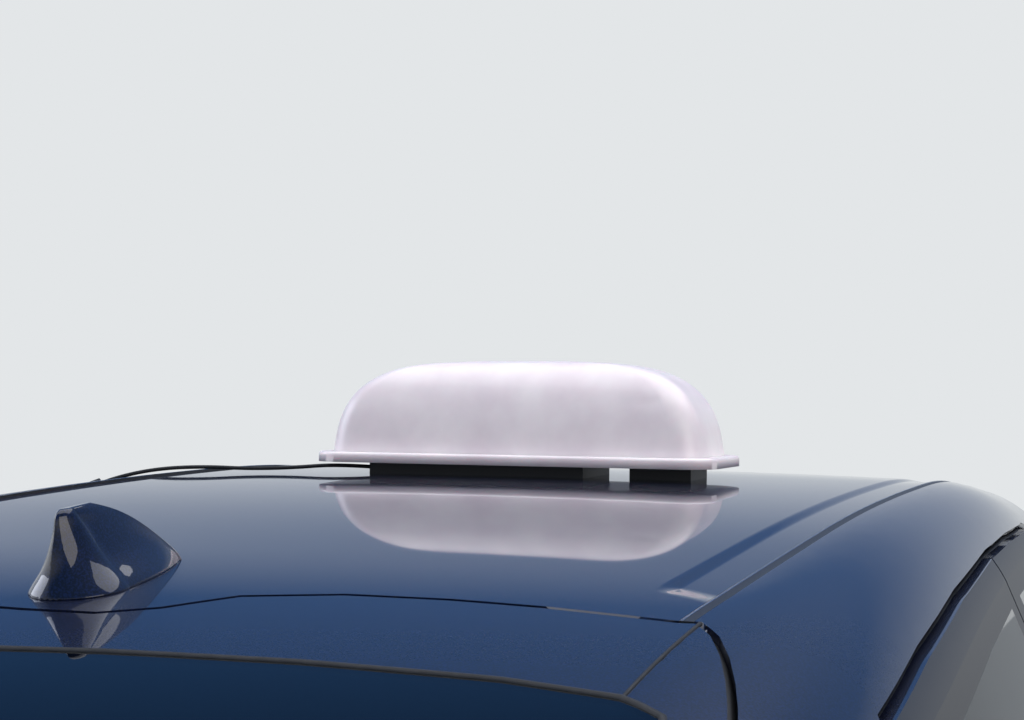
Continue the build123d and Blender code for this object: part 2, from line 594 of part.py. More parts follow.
shell = dome(0, 0) - dome(SIGN_WALL, SIGN_WALL)
save("sign_shell", shell)
rim_plate = Solid.extrude(Face(rounded(SIGN_WIDTH / 2, SIGN_DEPTH / 2, 42, rim_z)), Vector(0, 0, SIGN_RIM))
rim_plate = rim_plate.fillet(4, rim_plate.edges().group_by(Axis.Z)[-1])
rim_plate = rim_plate - Solid.extrude(Face(rounded(228, 62, 24, rim_z)), Vector(0, 0, SIGN_RIM))
tray = Solid.extrude(Face(rounded(228, 62, 24, rim_z)), Vector(0, 0, 3))
save("sign_rim", rim_plate + tray)

# Feet under the sign, and the gland where its lead enters the left roof rail
feet = [box(x0, x1, SIGN_Y - d, SIGN_Y + d, SIGN_ROOF - 30, rim_z) - OUTER for x0, x1, d in SIGN_FEET]
lead_in, lead_end = Vector(*LEAD[-1]), Vector(*LEAD[-2])
along = (lead_in - lead_end).normalized()
gland = rod(lead_in, lead_in + along * 34, 7) - OUTER
save("sign_feet", *feet, largest(gland))

# The sign's lead: straight runs joined by arcs that take 0.45 of the shorter run
def lead_path(points):
    p = [Vector(*q) for q in points]
    edges, start = [], p[0]
    for a, b, c in zip(p, p[1:], p[2:]):
        u, v = (a - b).normalized(), (c - b).normalized()
        reach = 0.45 * min((a - b).length, (c - b).length)
        half = u.get_angle(v) / 2
        radius = reach * math.tan(math.radians(half))
        middle = (u + v).normalized()
        nearest = b + middle * (reach / math.cos(math.radians(half)) - radius)
        edges += [Line(start, b + u * reach), ThreePointArc(b + u * reach, nearest, b + v * reach)]
        start = b + v * reach
    return Wire(edges + [Line(start, p[-1])])


route = lead_path(LEAD)
first = (Vector(*LEAD[1]) - Vector(*LEAD[0])).normalized()
lead_face = Face(Wire.make_circle(LEAD_WIDTH / 2, Plane(LEAD[0], z_dir=first)))
save("sign_lead", Solid.sweep(lead_face, route))

# Fin aerial: a teardrop foot that rises to a thin ridge at its rear
def teardrop(length, width, back, z):
    """A pointed oval lying lengthwise, its blunt end at the back."""
    y0, y1 = AERIAL_Y + back, AERIAL_Y + back + length
    w = width / 2
    wide_y = y0 + length * 0.3
    nose = max(w * 0.25, 1.2)
    p = [(0, y0), (w * 0.8, y0 + length * 0.09), (w, wide_y), (w * 0.72, y0 + length * 0.68), (nose, y1 - nose), (0, y1)]
    v = [Vector(x, y, z) for x, y in p]
    m = [Vector(-x, y, z) for x, y in p]
    return Wire([ThreePointArc(v[0], v[1], v[2]), ThreePointArc(v[2], v[3], v[4]), ThreePointArc(v[4], v[5], m[4]),
                 ThreePointArc(m[4], m[3], m[2]), ThreePointArc(m[2], m[1], m[0])])


fin = Solid.make_loft([teardrop(length, width, back, AERIAL_FOOT + z) for z, length, width, back in AERIAL_ROWS])
fin = fin.rotate(Axis((0, AERIAL_Y, AERIAL_FOOT), (1, 0, 0)), AERIAL_SLOPE)
save("aerial", fin - OUTER)
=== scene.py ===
import json
import math

import bmesh
import bpy
import numpy as np
from mathutils import Matrix, Vector


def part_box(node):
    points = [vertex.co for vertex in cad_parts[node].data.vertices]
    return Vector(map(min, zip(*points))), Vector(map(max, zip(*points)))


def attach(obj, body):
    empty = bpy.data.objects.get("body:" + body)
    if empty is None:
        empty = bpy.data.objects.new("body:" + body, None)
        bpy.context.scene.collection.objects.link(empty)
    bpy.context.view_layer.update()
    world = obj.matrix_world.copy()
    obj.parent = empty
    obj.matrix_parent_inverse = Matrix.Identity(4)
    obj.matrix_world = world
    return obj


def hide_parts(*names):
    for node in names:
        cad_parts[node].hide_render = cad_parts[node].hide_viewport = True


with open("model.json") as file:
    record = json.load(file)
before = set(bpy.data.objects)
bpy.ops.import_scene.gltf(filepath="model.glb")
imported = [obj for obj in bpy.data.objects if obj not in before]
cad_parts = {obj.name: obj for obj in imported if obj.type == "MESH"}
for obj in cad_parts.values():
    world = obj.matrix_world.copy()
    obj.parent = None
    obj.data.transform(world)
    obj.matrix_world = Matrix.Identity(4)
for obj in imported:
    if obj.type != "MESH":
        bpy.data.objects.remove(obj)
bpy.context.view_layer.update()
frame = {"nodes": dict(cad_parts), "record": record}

MM = 0.001
SIDES = (("left", -1), ("right", 1))
PICTURE_WIDTH, SENSOR_WIDTH, FOCAL_LENGTH = 1024, 36, 1656.756
BACKDROP_GREY = "#e3e6e8"

# Camera: beside the right rear corner of the roof, looking over it to the sign
EYE = Vector((726.9, -1965.9, 1550.3)) * MM
AHEAD = Vector((-0.35195717, 0.93566016, 0.02581103))
ACROSS = Vector((0.93601546, 0.35185552, 0.00852977))
UPRIGHT = Vector((0.00110078, -0.02716163, 0.99963045))

camera_data = bpy.data.cameras.new("camera")
camera = bpy.data.objects.new("camera", camera_data)
bpy.context.scene.collection.objects.link(camera)
camera_data.sensor_width = SENSOR_WIDTH
camera_data.lens = FOCAL_LENGTH * SENSOR_WIDTH / PICTURE_WIDTH
camera_data.clip_start = 0.05
camera_data.clip_end = 60
turn = Matrix((ACROSS, UPRIGHT, -AHEAD)).transposed().to_4x4()
camera.matrix_world = Matrix.Translation(EYE) @ turn
bpy.context.scene.camera = camera


# Colours and nodes

def tint(code):
    """An sRGB hex colour as linear red, green, blue and alpha."""
    parts = [int(code[i:i + 2], 16) / 255 for i in (1, 3, 5)]
    return [c / 12.92 if c <= 0.04045 else ((c + 0.055) / 1.055) ** 2.4 for c in parts] + [1.0]


def add(tree, kind, settings=None, **inputs):
    """One node, its settings as attributes and its inputs, by name or as i0, i1, as values or sockets."""
    node = tree.nodes.new(kind)
    for key, value in (settings or {}).items():
        setattr(node, key, value)
    for key, value in inputs.items():
        numbered = key[0] == "i" and key[1:].isdigit()
        socket = node.inputs[int(key[1:]) if numbered else key.replace("_", " ")]
        if isinstance(value, bpy.types.NodeSocket):
            tree.links.new(value, socket)
        else:
            socket.default_value = value
    return node


def material(name, colour, **shader):
    """A Principled material whose plain values sit on its own sockets."""
    made = bpy.data.materials.new(name)
    made.use_nodes = True
    made.diffuse_color = tint(colour)
    tree = made.node_tree
    surface = tree.nodes["Principled BSDF"]
    surface.inputs["Base Color"].default_value = tint(colour)
    for key, value in shader.items():
        surface.inputs[key.replace("_", " ")].default_value = value
    return made, tree, surface


def place(tree):
    """Object coordinates, in metres."""
    return add(tree, "ShaderNodeTexCoord").outputs["Object"]


def vary(tree, surface, dark, light, size_mm, detail=3.0, low=0.35, high=0.65):
    """Base colour wanders between two colours over patches of a size."""
    noise = add(tree, "ShaderNodeTexNoise", Vector=place(tree), Scale=1000 / size_mm, Detail=detail)
    ramp = add(tree, "ShaderNodeValToRGB", Fac=noise.outputs["Fac"])
    ramp.color_ramp.elements[0].position, ramp.color_ramp.elements[1].position = low, high
    ramp.color_ramp.elements[0].color, ramp.color_ramp.elements[1].color = tint(dark), tint(light)
    tree.links.new(ramp.outputs["Color"], surface.inputs["Base Color"])


def grain(tree, surface, size_mm, strength, distance_mm, detail=2.0):
    """A fine relief on the surface."""
    noise = add(tree, "ShaderNodeTexNoise", Vector=place(tree), Scale=1000 / size_mm, Detail=detail)
    bump = add(tree, "ShaderNodeBump", Strength=strength, Distance=distance_mm * MM,
               Height=noise.outputs["Fac"])
    tree.links.new(bump.outputs["Normal"], surface.inputs["Normal"])


# The skin as numbers: the same tables as the solids are lofted through, in millimetres.
# A row of the lower body has its place along the car, half width, underside, shoulder and middle of the deck.

LOWER = [
    (2400, 850, 215, 640, 705), (1800, 893, 200, 825, 888), (1200, 905, 190, 918, 985),
    (600, 907, 185, 935, 1000), (0, 907, 185, 943, 1003), (-600, 907, 185, 952, 1005),
    (-1200, 905, 190, 963, 1008), (-1800, 893, 200, 978, 1013), (-2400, 850, 230, 985, 1018),
]

# A row of the glasshouse has its place, height of the middle, crown, half width at the ditch, drop to the
# cant rail and half width at its foot.
UPPER = [
    (1330, 915, 62, 765, 118, 880), (1070, 1098, 48, 685, 113, 888), (810, 1276, 33, 608, 107, 891),
    (560, 1444, 17, 520, 112, 893), (310, 1458, 7, 488, 89, 894), (60, 1459.6, 5, 486, 86, 893),
    (-200, 1454.8, 5, 476, 85, 889), (-460, 1444.2, 5, 466, 84, 884), (-720, 1427.8, 5, 456, 84, 877),
    (-980, 1405, 5, 449, 84, 864), (-1240, 1352, 9, 475, 84, 845), (-1500, 1252, 18, 520, 84, 826),
    (-1760, 1148, 31, 570, 83, 806), (-2020, 1050, 43, 615, 81, 790), (-2400, 915, 55, 660, 80, 768),
]

HEADER = 0.560
HOUSE_FOOT, FOOT_SOFTNESS = 0.7, 0.005
SIDE_LEAN, CORNER_BULGE = 0.43, 0.13
FLANK_TOP_IN, FLANK_UNDER_IN, FLANK_WIDEST, FLANK_TOP_DROP = 0.048, 0.062, 0.6, 0.008
SHOULDER_IN, SHOULDER_RISE, DECK_IN, DECK_RISE = 0.064, 0.010, 0.122, 0.020
SLOPE_STEP = 0.0004


def spline(rows):
    """Natural cubic splines through a table's columns, as functions of y."""
    table = np.array(rows, float)[::-1] * MM
    ys, vs = table[:, 0], table[:, 1:]
    n, h = len(ys), np.diff(ys)
    left, right = np.eye(n), np.zeros_like(vs)
    for i in range(1, n - 1):
        left[i, i - 1:i + 2] = h[i - 1], 2 * (h[i - 1] + h[i]), h[i]
        right[i] = 6 * ((vs[i + 1] - vs[i]) / h[i] - (vs[i] - vs[i - 1]) / h[i - 1])
    bend = np.linalg.solve(left, right)

    def at(y):
        i = np.clip(np.searchsorted(ys, y) - 1, 0, n - 2)
        step = h[i][:, None]
        a, b = (ys[i + 1] - y)[:, None], (y - ys[i])[:, None]
        return ((bend[i] * a ** 3 + bend[i + 1] * b ** 3) / (6 * step)
                + (vs[i] / step - bend[i] * step / 6) * a + (vs[i + 1] / step - bend[i + 1] * step / 6) * b).T

    return at


roof_at, windscreen_at, lower_at = spline(UPPER[3:]), spline(UPPER[:4]), spline(LOWER)


def upper_at(y):
    """The glasshouse is two lofts that meet at the header."""
    return np.where(y > HEADER, windscreen_at(y), roof_at(y))


def round_through(ax, az, bx, bz, cx, cz):
    """Centre and radius of the circle through three points of a section."""
    d = 2 * (ax * (bz - cz) + bx * (cz - az) + cx * (az - bz))
    a, b, c = ax * ax + az * az, bx * bx + bz * bz, cx * cx + cz * cz
    x = (a * (bz - cz) + b * (cz - az) + c * (az - bz)) / d
    z = (a * (cx - bx) + b * (ax - cx) + c * (bx - ax)) / d
    return x, z, np.hypot(ax - x, az - z)


def off(x, z, circle):
    """How far points of a section lie outside a circle."""
    return np.hypot(x - circle[0], z - circle[1]) - circle[2]


def height_off_skin(p, soft=0.0):
    """How far points near the car's skin lie outside it, in metres; soft rounds the foot of the glasshouse."""
    x, y, z = np.abs(p[:, 0]), p[:, 1], p[:, 2]
    centre, crown, ditch, drop, foot = upper_at(y)
    cant_z, edge_z = centre - drop, centre - crown
    cant_x = foot - SIDE_LEAN * (cant_z - HOUSE_FOOT)
    bend_x = (cant_x + ditch) / 2 + CORNER_BULGE * (edge_z - cant_z)
    bend_z = (cant_z + edge_z) / 2 + CORNER_BULGE * (cant_x - ditch)
    side = ((x - foot) + SIDE_LEAN * (z - HOUSE_FOOT)) / math.hypot(1, SIDE_LEAN)
    corner = off(x, z, round_through(cant_x, cant_z, bend_x, bend_z, ditch, edge_z))
    roof_r = (ditch ** 2 + crown ** 2) / (2 * crown)
    roof = np.hypot(x, z - centre + roof_r) - roof_r
    house = np.where(z < HOUSE_FOOT, 1.0, np.where(z < cant_z, side, np.where(x < ditch, roof, corner)))
    wide, under, shoulder, middle = lower_at(y)
    edge_x, edge_z = wide - FLANK_TOP_IN, shoulder - FLANK_TOP_DROP
    top_x, top_z = wide - DECK_IN, shoulder + DECK_RISE
    flank = off(x, z, round_through(wide - FLANK_UNDER_IN, under, wide, FLANK_WIDEST + 0 * x, edge_x, edge_z))
    bend = off(x, z, round_through(edge_x, edge_z, wide - SHOULDER_IN, shoulder + SHOULDER_RISE, top_x, top_z))
    deck = off(x, z, round_through(top_x, top_z, 0 * x, middle, -top_x, top_z))
    tub = np.where(z < edge_z, flank, np.where(x < top_x, deck, bend))
    return -soft * np.logaddexp(-house / soft, -tub / soft) if soft else np.minimum(house, tub)


def skin(p):
    """Height off the skin and the skin's direction at points."""
    slope = np.stack([height_off_skin(p + SLOPE_STEP / 2 * axis, FOOT_SOFTNESS)
                      - height_off_skin(p - SLOPE_STEP / 2 * axis, FOOT_SOFTNESS) for axis in np.eye(3)], 1)
    return height_off_skin(p), slope / np.maximum(np.linalg.norm(slope, axis=1), 1e-12)[:, None]


def new_piece(name, mesh, body, *materials):
    """A mesh as a piece that rides on a body."""
    made = bpy.data.objects.new(name, mesh)
    bpy.context.scene.collection.objects.link(made)
    for m in materials:
        mesh.materials.append(m)
    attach(made, body)
    return made


def points_of(mesh):
    """A mesh's vertices as rows."""
    flat = np.zeros(len(mesh.vertices) * 3)
    mesh.vertices.foreach_get("co", flat)
    return flat.reshape(-1, 3)


JOIN_WITHIN, DROP_BELOW = 2e-5, 1e-6
EDGE_LIMIT, ROUNDS = 0.04, 6
TO_MIDDLE = 0.2
FACES_OUT, PANEL_CREASE = 0.85, 28


def merged(node):
    """A copy of a node's mesh with its loose triangles joined."""
    bm = bmesh.new()
    bm.from_mesh(frame["nodes"][node].data)
    bmesh.ops.remove_doubles(bm, verts=bm.verts, dist=JOIN_WITHIN)
    bmesh.ops.dissolve_degenerate(bm, edges=bm.edges, dist=DROP_BELOW)
    return bm


def panel(node, *materials, pick=None, cuts=(), relief=None, reach=0.002):
    """A body panel: its skin divided finely and shaded by the skin's direction, its cut faces left plain."""
    bm = merged(node)
    for spot, across in cuts:
        everything = bm.verts[:] + bm.edges[:] + bm.faces[:]
        bmesh.ops.bisect_plane(bm, geom=everything, plane_co=spot, plane_no=across)
    bmesh.ops.triangulate(bm, faces=[f for f in bm.faces if len(f.verts) > 3])
    for _ in range(ROUNDS):
        bm.verts.ensure_lookup_table()
        bm.verts.index_update()
        on = np.abs(height_off_skin(np.array([v.co for v in bm.verts]))) < reach
        long = [e for e in bm.edges
                if e.calc_length() > EDGE_LIMIT and on[e.verts[0].index] and on[e.verts[1].index]]
        if not long:
            break
        bmesh.ops.subdivide_edges(bm, edges=long, cuts=1)
        bmesh.ops.triangulate(bm, faces=[f for f in bm.faces if len(f.verts) > 3])
    mesh = bpy.data.meshes.new(node + "_skin")
    bm.to_mesh(mesh)
    bm.free()
    p = points_of(mesh)
    height, direction = skin(p)
    on = np.abs(height) < reach
    p[on] -= height[on, None] * direction[on]
    corners = np.zeros(len(mesh.loops), int)
    mesh.loops.foreach_get("vertex_index", corners)
    tri = corners.reshape(-1, 3)
    beside = (1 - TO_MIDDLE) * p[corners] + TO_MIDDLE * np.repeat(p[tri].mean(1), 3, axis=0)
    _, facing = skin(beside)
    if relief is not None:
        facing = facing - np.stack([(relief(beside + SLOPE_STEP * axis) - relief(beside - SLOPE_STEP * axis))
                                    / (2 * SLOPE_STEP) for axis in np.eye(3)], 1)
        facing /= np.linalg.norm(facing, axis=1)[:, None]
        p[on] += relief(p)[on, None] * direction[on]
    mesh.vertices.foreach_set("co", p.ravel())
    mesh.update()
    flat = np.cross(p[tri[:, 1]] - p[tri[:, 0]], p[tri[:, 2]] - p[tri[:, 0]])
    flat /= np.maximum(np.linalg.norm(flat, axis=1), 1e-15)[:, None]
    outer = on[tri].all(1) & ((flat * facing.reshape(-1, 3, 3).mean(1)).sum(1) > FACES_OUT)
    mesh.shade_smooth()
    mesh.set_sharp_from_angle(angle=math.radians(PANEL_CREASE))
    normals = np.where(np.repeat(outer, 3)[:, None], facing, 0.0)
    mesh.normals_split_custom_set(normals.tolist())
    made = new_piece(node + "_skin", mesh, BODY[node], *materials)
    if pick is not None:
        chosen = pick(p[tri].mean(1), outer, flat)
        mesh.polygons.foreach_set("material_index", chosen.astype(np.int32))
    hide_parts(node)
    return made


# Materials

# Clear-coated metallic body paint, sprayed: a deep navy with fine flake under a hard gloss
paint, tree, surface = material("metallic_paint_sprayed", "#0a1430", Metallic=0.3, Roughness=0.45)
surface.inputs["Coat Weight"].default_value = 1.0
surface.inputs["Coat Roughness"].default_value = 0.03
surface.inputs["Specular IOR Level"].default_value = 0.15
vary(tree, surface, "#070d20", "#101c40", 1.6, detail=1.0, low=0.42, high=0.66)

# Satin black lacquer on pressed steel: the doors' window frames, soft sheen and no flake
frame_black, tree, surface = material("satin_lacquer_sprayed", "#17181c", Roughness=0.38)
grain(tree, surface, 2.5, 0.08, 0.05)

# Black rubber seal, extruded: matt, with the faintest bloom
rubber, tree, surface = material("epdm_rubber_extruded", "#101011", Roughness=0.62)
vary(tree, surface, "#0b0b0c", "#18181a", 9.0)

# Tinted safety glass, float: dark and clear with a sharp reflection
glass, tree, surface = material("safety_glass_float", "#3d4f50", Roughness=0.02, Transmission_Weight=1.0)
vary(tree, surface, "#3a4b4c", "#415354", 400.0)

# Translucent acrylic dome, moulded: milky white with a slight pink cast, smooth and slightly waxy
sign_white, tree, surface = material("acrylic_moulded", "#ece3ea", Roughness=0.24, Subsurface_Weight=0.35)
surface.inputs["Subsurface Radius"].default_value = (0.02, 0.014, 0.016)
surface.inputs["Subsurface Scale"].default_value = 0.4
vary(tree, surface, "#e6dce4", "#f0e8ee", 60.0)

# Anodised aluminium strip, rolled: bright, its reflections softened by a faint grain
bright, tree, surface = material("anodised_aluminium_rolled", "#b9babd", Metallic=1.0, Roughness=0.22)
grain(tree, surface, 1.2, 0.05, 0.02)

# Black ABS, moulded with a fine grain, so that it shines dully: grilles, sign feet and wheel caps
abs_black, tree, surface = material("abs_moulded", "#1a1a1c", Roughness=0.5)
grain(tree, surface, 1.6, 0.25, 0.08)

# Soft-touch polypropylene in the cabin, moulded: dull dark grey with leather grain
cabin_trim, tree, surface = material("polypropylene_moulded", "#26272a", Roughness=0.6)
grain(tree, surface, 3.0, 0.35, 0.2)

# Knitted headlining, bonded: pale warm grey and matt with a soft nap
headlining, tree, surface = material("polyester_knitted", "#aaa7a0", Roughness=0.95)
vary(tree, surface, "#a19e97", "#b2afa8", 4.0)

# Clear polycarbonate lamp lens, moulded: two chromed bowls with dark projectors are painted into its colour,
# the chrome as light and dark rings of painted reflection and highlight
PAINTED_REFLECTOR_BOWLS = [(0.560, 0.668, 0.050), (0.676, 0.672, 0.045)]
LAMP_HOUSING = "#6a7178"
BOWL_REFLECTION_RINGS = [(0.56, "#c3c8cd"), (0.74, "#868c93"), (0.9, "#aab0b6"), (0.98, LAMP_HOUSING)]
lens_clear, tree, surface = material("polycarbonate_moulded", LAMP_HOUSING, Roughness=0.16)
surface.inputs["Coat Weight"].default_value = 1.0
surface.inputs["Coat Roughness"].default_value = 0.02
spot = add(tree, "ShaderNodeSeparateXYZ", Vector=place(tree))
beside = add(tree, "ShaderNodeMath", {"operation": "ABSOLUTE"}, i0=spot.outputs["X"])
colour = None
for x, z, radius in PAINTED_REFLECTOR_BOWLS:
    across = add(tree, "ShaderNodeMath", {"operation": "SUBTRACT"}, i0=beside.outputs[0], i1=x)
    above = add(tree, "ShaderNodeMath", {"operation": "SUBTRACT"}, i0=spot.outputs["Z"], i1=z)
    flat = add(tree, "ShaderNodeCombineXYZ", X=across.outputs[0], Y=above.outputs[0])
    away = add(tree, "ShaderNodeVectorMath", {"operation": "LENGTH"}, i0=flat.outputs[0])
    share = add(tree, "ShaderNodeMath", {"operation": "DIVIDE"}, i0=away.outputs["Value"], i1=radius)
    rings = add(tree, "ShaderNodeValToRGB", Fac=share.outputs[0])
    rings.color_ramp.elements[0].position, rings.color_ramp.elements[0].color = 0.0, tint("#2a3038")
    rings.color_ramp.elements[1].position, rings.color_ramp.elements[1].color = 0.5, tint("#20252b")
    # Light and dark rings of painted reflection and highlight that stand in for the chromed bowls
    for at, shade in BOWL_REFLECTION_RINGS:
        rings.color_ramp.elements.new(at).color = tint(shade)
    inside = add(tree, "ShaderNodeMath", {"operation": "LESS_THAN"}, i0=share.outputs[0], i1=1.0)
    base = colour.outputs[2] if colour else tint(LAMP_HOUSING)
    colour = add(tree, "ShaderNodeMix", {"data_type": "RGBA"}, Factor=inside.outputs[0], i6=base,
                 i7=rings.outputs["Color"])
tree.links.new(colour.outputs[2], surface.inputs["Base Color"])

# Red acrylic tail-lamp lens, moulded: deep red with a sharp shine
lens_red, tree, surface = material("red_acrylic_moulded", "#8c0d12", Roughness=0.08)
vary(tree, surface, "#840c11", "#910f15", 120.0)

# Cast aluminium alloy wheel, lacquered: silver with a fine flake
alloy, tree, surface = material("aluminium_alloy_cast", "#9da0a4", Metallic=0.9, Roughness=0.3)
vary(tree, surface, "#93969a", "#a8abaf", 2.0)

# Tyre rubber, vulcanised: dark grey-black with dusty patches
tyre_rubber, tree, surface = material("tyre_rubber_vulcanised", "#1b1b1c", Roughness=0.78)
vary(tree, surface, "#151516", "#232324", 14.0)

# Forged steel under the car: dull grey, browned in patches
steel, tree, surface = material("steel_forged", "#4a4b4d", Metallic=0.8, Roughness=0.5)
vary(tree, surface, "#3c3d3f", "#5a5854", 12.0)

# Cast iron block: dark and rough
iron, tree, surface = material("iron_cast", "#2d2d2e", Metallic=0.5, Roughness=0.7)
grain(tree, surface, 2.0, 0.5, 0.3)

# Woven seat cloth: charcoal with a fine diagonal rib, drawn 18 mm apart so that it shows
cloth, tree, surface = material("polyester_woven", "#2a2b30", Roughness=0.9)
wave = add(tree, "ShaderNodeTexWave", {"bands_direction": "DIAGONAL"}, Vector=place(tree), Scale=1000 / 18.0,
           Distortion=0.5)
ramp = add(tree, "ShaderNodeValToRGB", Fac=wave.outputs["Fac"])
ramp.color_ramp.elements[0].color, ramp.color_ramp.elements[1].color = tint("#222328"), tint("#34353b")
tree.links.new(ramp.outputs["Color"], surface.inputs["Base Color"])

# Blank number plate, cast acrylic: even white with a satin shine
plate_white, tree, surface = material("plate_acrylic_cast", "#e4e4e0", Roughness=0.25)
vary(tree, surface, "#e1e1dd", "#e6e6e2", 300.0)

# Silvered float glass: a clear, bright reflection in the door mirrors
silvered, tree, surface = material("mirror_glass_silvered", "#c9ced2", Metallic=1.0, Roughness=0.03)
vary(tree, surface, "#c4c9cd", "#cfd4d8", 80.0)

# Zinc-plated steel, cold headed: the wheel bolts' pale grey sheen
zinc, tree, surface = material("zinc_steel_headed", "#a3a5a6", Metallic=1.0, Roughness=0.35)
vary(tree, surface, "#979a9b", "#adafb0", 6.0)

PLAIN = {
    "roof_mouldings": frame_black, "tail_lamps": lens_red, "headlamps": lens_clear, "grilles": abs_black,
    "number_plates": plate_white, "suspension_arms": steel, "rear_axle": steel, "engine_block": iron,
    "exhaust": steel, "dashboard": cabin_trim, "steering_wheel": cabin_trim, "front_seats": cloth,
    "rear_seat": cloth, "load_cover": cabin_trim, "wipers": rubber, "sign_feet": abs_black,
    "sign_lead": rubber, "buffers": rubber, "aerial": paint, "sign_shell": sign_white, "sign_rim": sign_white,
}
for side, _ in SIDES:
    PLAIN.update({f"mirror_{side}": paint, f"knuckle_{side}": steel})
    for end in ("front", "rear"):
        PLAIN.update({f"tyre_{end}_{side}": tyre_rubber, f"wheel_{end}_{side}": alloy,
                      f"door_{end}_{side}": paint, f"door_glass_{end}_{side}": glass})
for name in ("body_shell", "roof_panel", "bonnet", "tailgate", "front_bumper", "rear_bumper"):
    PLAIN[name] = paint
for name in ("windscreen", "tailgate_glass"):
    PLAIN[name] = glass
for name, ob in frame["nodes"].items():
    ob.data.materials.clear()
    ob.data.materials.append(PLAIN[name])

BODY = {n: b for b, members in frame["record"]["behaviour"]["bodies"].items() for n in members}


# Body panels

WAIST, CARPET_TOP, HEADLINING_FROM = 0.992, 0.4, 1.02
LINING_DEPTH, LOOKS_IN = 0.045, -0.4
CABIN = ((-0.85, -2.24, 0.2495), (0.85, 1.03, 1.5))


def lined(middle, flat):
    """Faces inside the cabin that look inwards, or lie on its floor, wear trim and not paint."""
    low, high = np.array(CABIN)
    _, out = skin(middle)
    floor = middle[:, 2] < CARPET_TOP
    depth = LINING_DEPTH * np.where(middle[:, 2] > WAIST, 0.9, np.where(floor, 0.5, 1.4))
    inwards = (flat * out).sum(1) < LOOKS_IN
    return ((middle > low) & (middle < high)).all(1) & (inwards | floor) & (height_off_skin(middle) < -depth)


def frames_dark(middle, outer, flat):
    """The doors' window frames, above the waist and outside, are satin black; inner faces are trimmed."""
    return np.where(lined(middle, flat), 2, (outer & (middle[:, 2] > WAIST)).astype(int))


def linings(middle, _, flat):
    """Trim below, headlining above, on the faces that look into the cabin."""
    return np.where(lined(middle, flat), np.where(middle[:, 2] > HEADLINING_FROM, 2, 1), 0)


# The roof's pressed line: a step down towards each ditch, which fades out at the rear
PRESS_FROM, PRESS_TO = (403, -820), (426, -54)
PRESS_WIDTH, PRESS_DEPTH, PRESS_FADE, FADE_SLANT = 14 * MM, 3.2 * MM, 45 * MM, 0.6
press_run = (Vector(PRESS_TO) - Vector(PRESS_FROM)).normalized()


def smooth_step(t):
    """An S-shaped rise from 0 to 1."""
    t = np.clip(t, 0, 1)
    return t * t * (3 - 2 * t)


def pressed(p):
    """The roof's relief at points, in metres off its plain skin, so negative where it is pressed in."""
    x, y = np.abs(p[:, 0]) - PRESS_FROM[0] * MM, p[:, 1] - PRESS_FROM[1] * MM
    aside = x * press_run.y - y * press_run.x
    return -PRESS_DEPTH * smooth_step(aside / PRESS_WIDTH) * smooth_step((y + FADE_SLANT * x) / PRESS_FADE)


press_cuts = []
for flip in (1, -1):
    for share in np.linspace(0, 1, 6):
        press_cuts.append(((flip * (PRESS_FROM[0] * MM + share * PRESS_WIDTH), PRESS_FROM[1] * MM, 0),
                           (flip * press_run.y, -press_run.x, 0)))
    for share in np.linspace(0, 1, 5):
        press_cuts.append(((flip * PRESS_FROM[0] * MM, PRESS_FROM[1] * MM + share * PRESS_FADE, 0),
                           (flip * FADE_SLANT, 1, 0)))

# Panels whose solids leave the tables' skin by up to 5 mm, between the rows of a loft, are reached for further
FAR_REACH = 0.0048
for name in ("bonnet", "front_bumper", "rear_bumper"):
    panel(name, paint, reach=FAR_REACH)
for name in ("body_shell", "tailgate"):
    panel(name, paint, cabin_trim, headlining, pick=linings, reach=FAR_REACH)
panel("roof_panel", paint, cabin_trim, headlining, pick=linings, cuts=press_cuts, relief=pressed)
for side, _ in SIDES:
    for end in ("front", "rear"):
        panel(f"door_{end}_{side}", paint, frame_black, cabin_trim, pick=frames_dark)
        panel(f"door_glass_{end}_{side}", glass)
for name in ("windscreen", "tailgate_glass"):
    panel(name, glass)


def plain_mesh(maker):
    """A maker's mesh with its modifiers applied."""
    return bpy.data.meshes.new_from_object(maker.evaluated_get(bpy.context.evaluated_depsgraph_get()))


def smooth_copy(node, material, angle=32):
    """A node's own shape with its curved faces shaded smooth."""
    bm = merged(node)
    mesh = bpy.data.meshes.new(node + "_smooth")
    bm.to_mesh(mesh)
    bm.free()
    mesh.shade_smooth()
    mesh.set_sharp_from_angle(angle=math.radians(angle))
    made = new_piece(node + "_smooth", mesh, BODY[node], material)
    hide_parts(node)


for side, _ in SIDES:
    smooth_copy(f"mirror_{side}", paint)
    for end in ("front", "rear"):
        smooth_copy(f"wheel_{end}_{side}", alloy)
smooth_copy("aerial", paint, 50)
smooth_copy("sign_rim", sign_white, 30)
smooth_copy("steering_wheel", cabin_trim)


# Rings of like pieces round a wheel: tread blocks and bolts, by one node tree

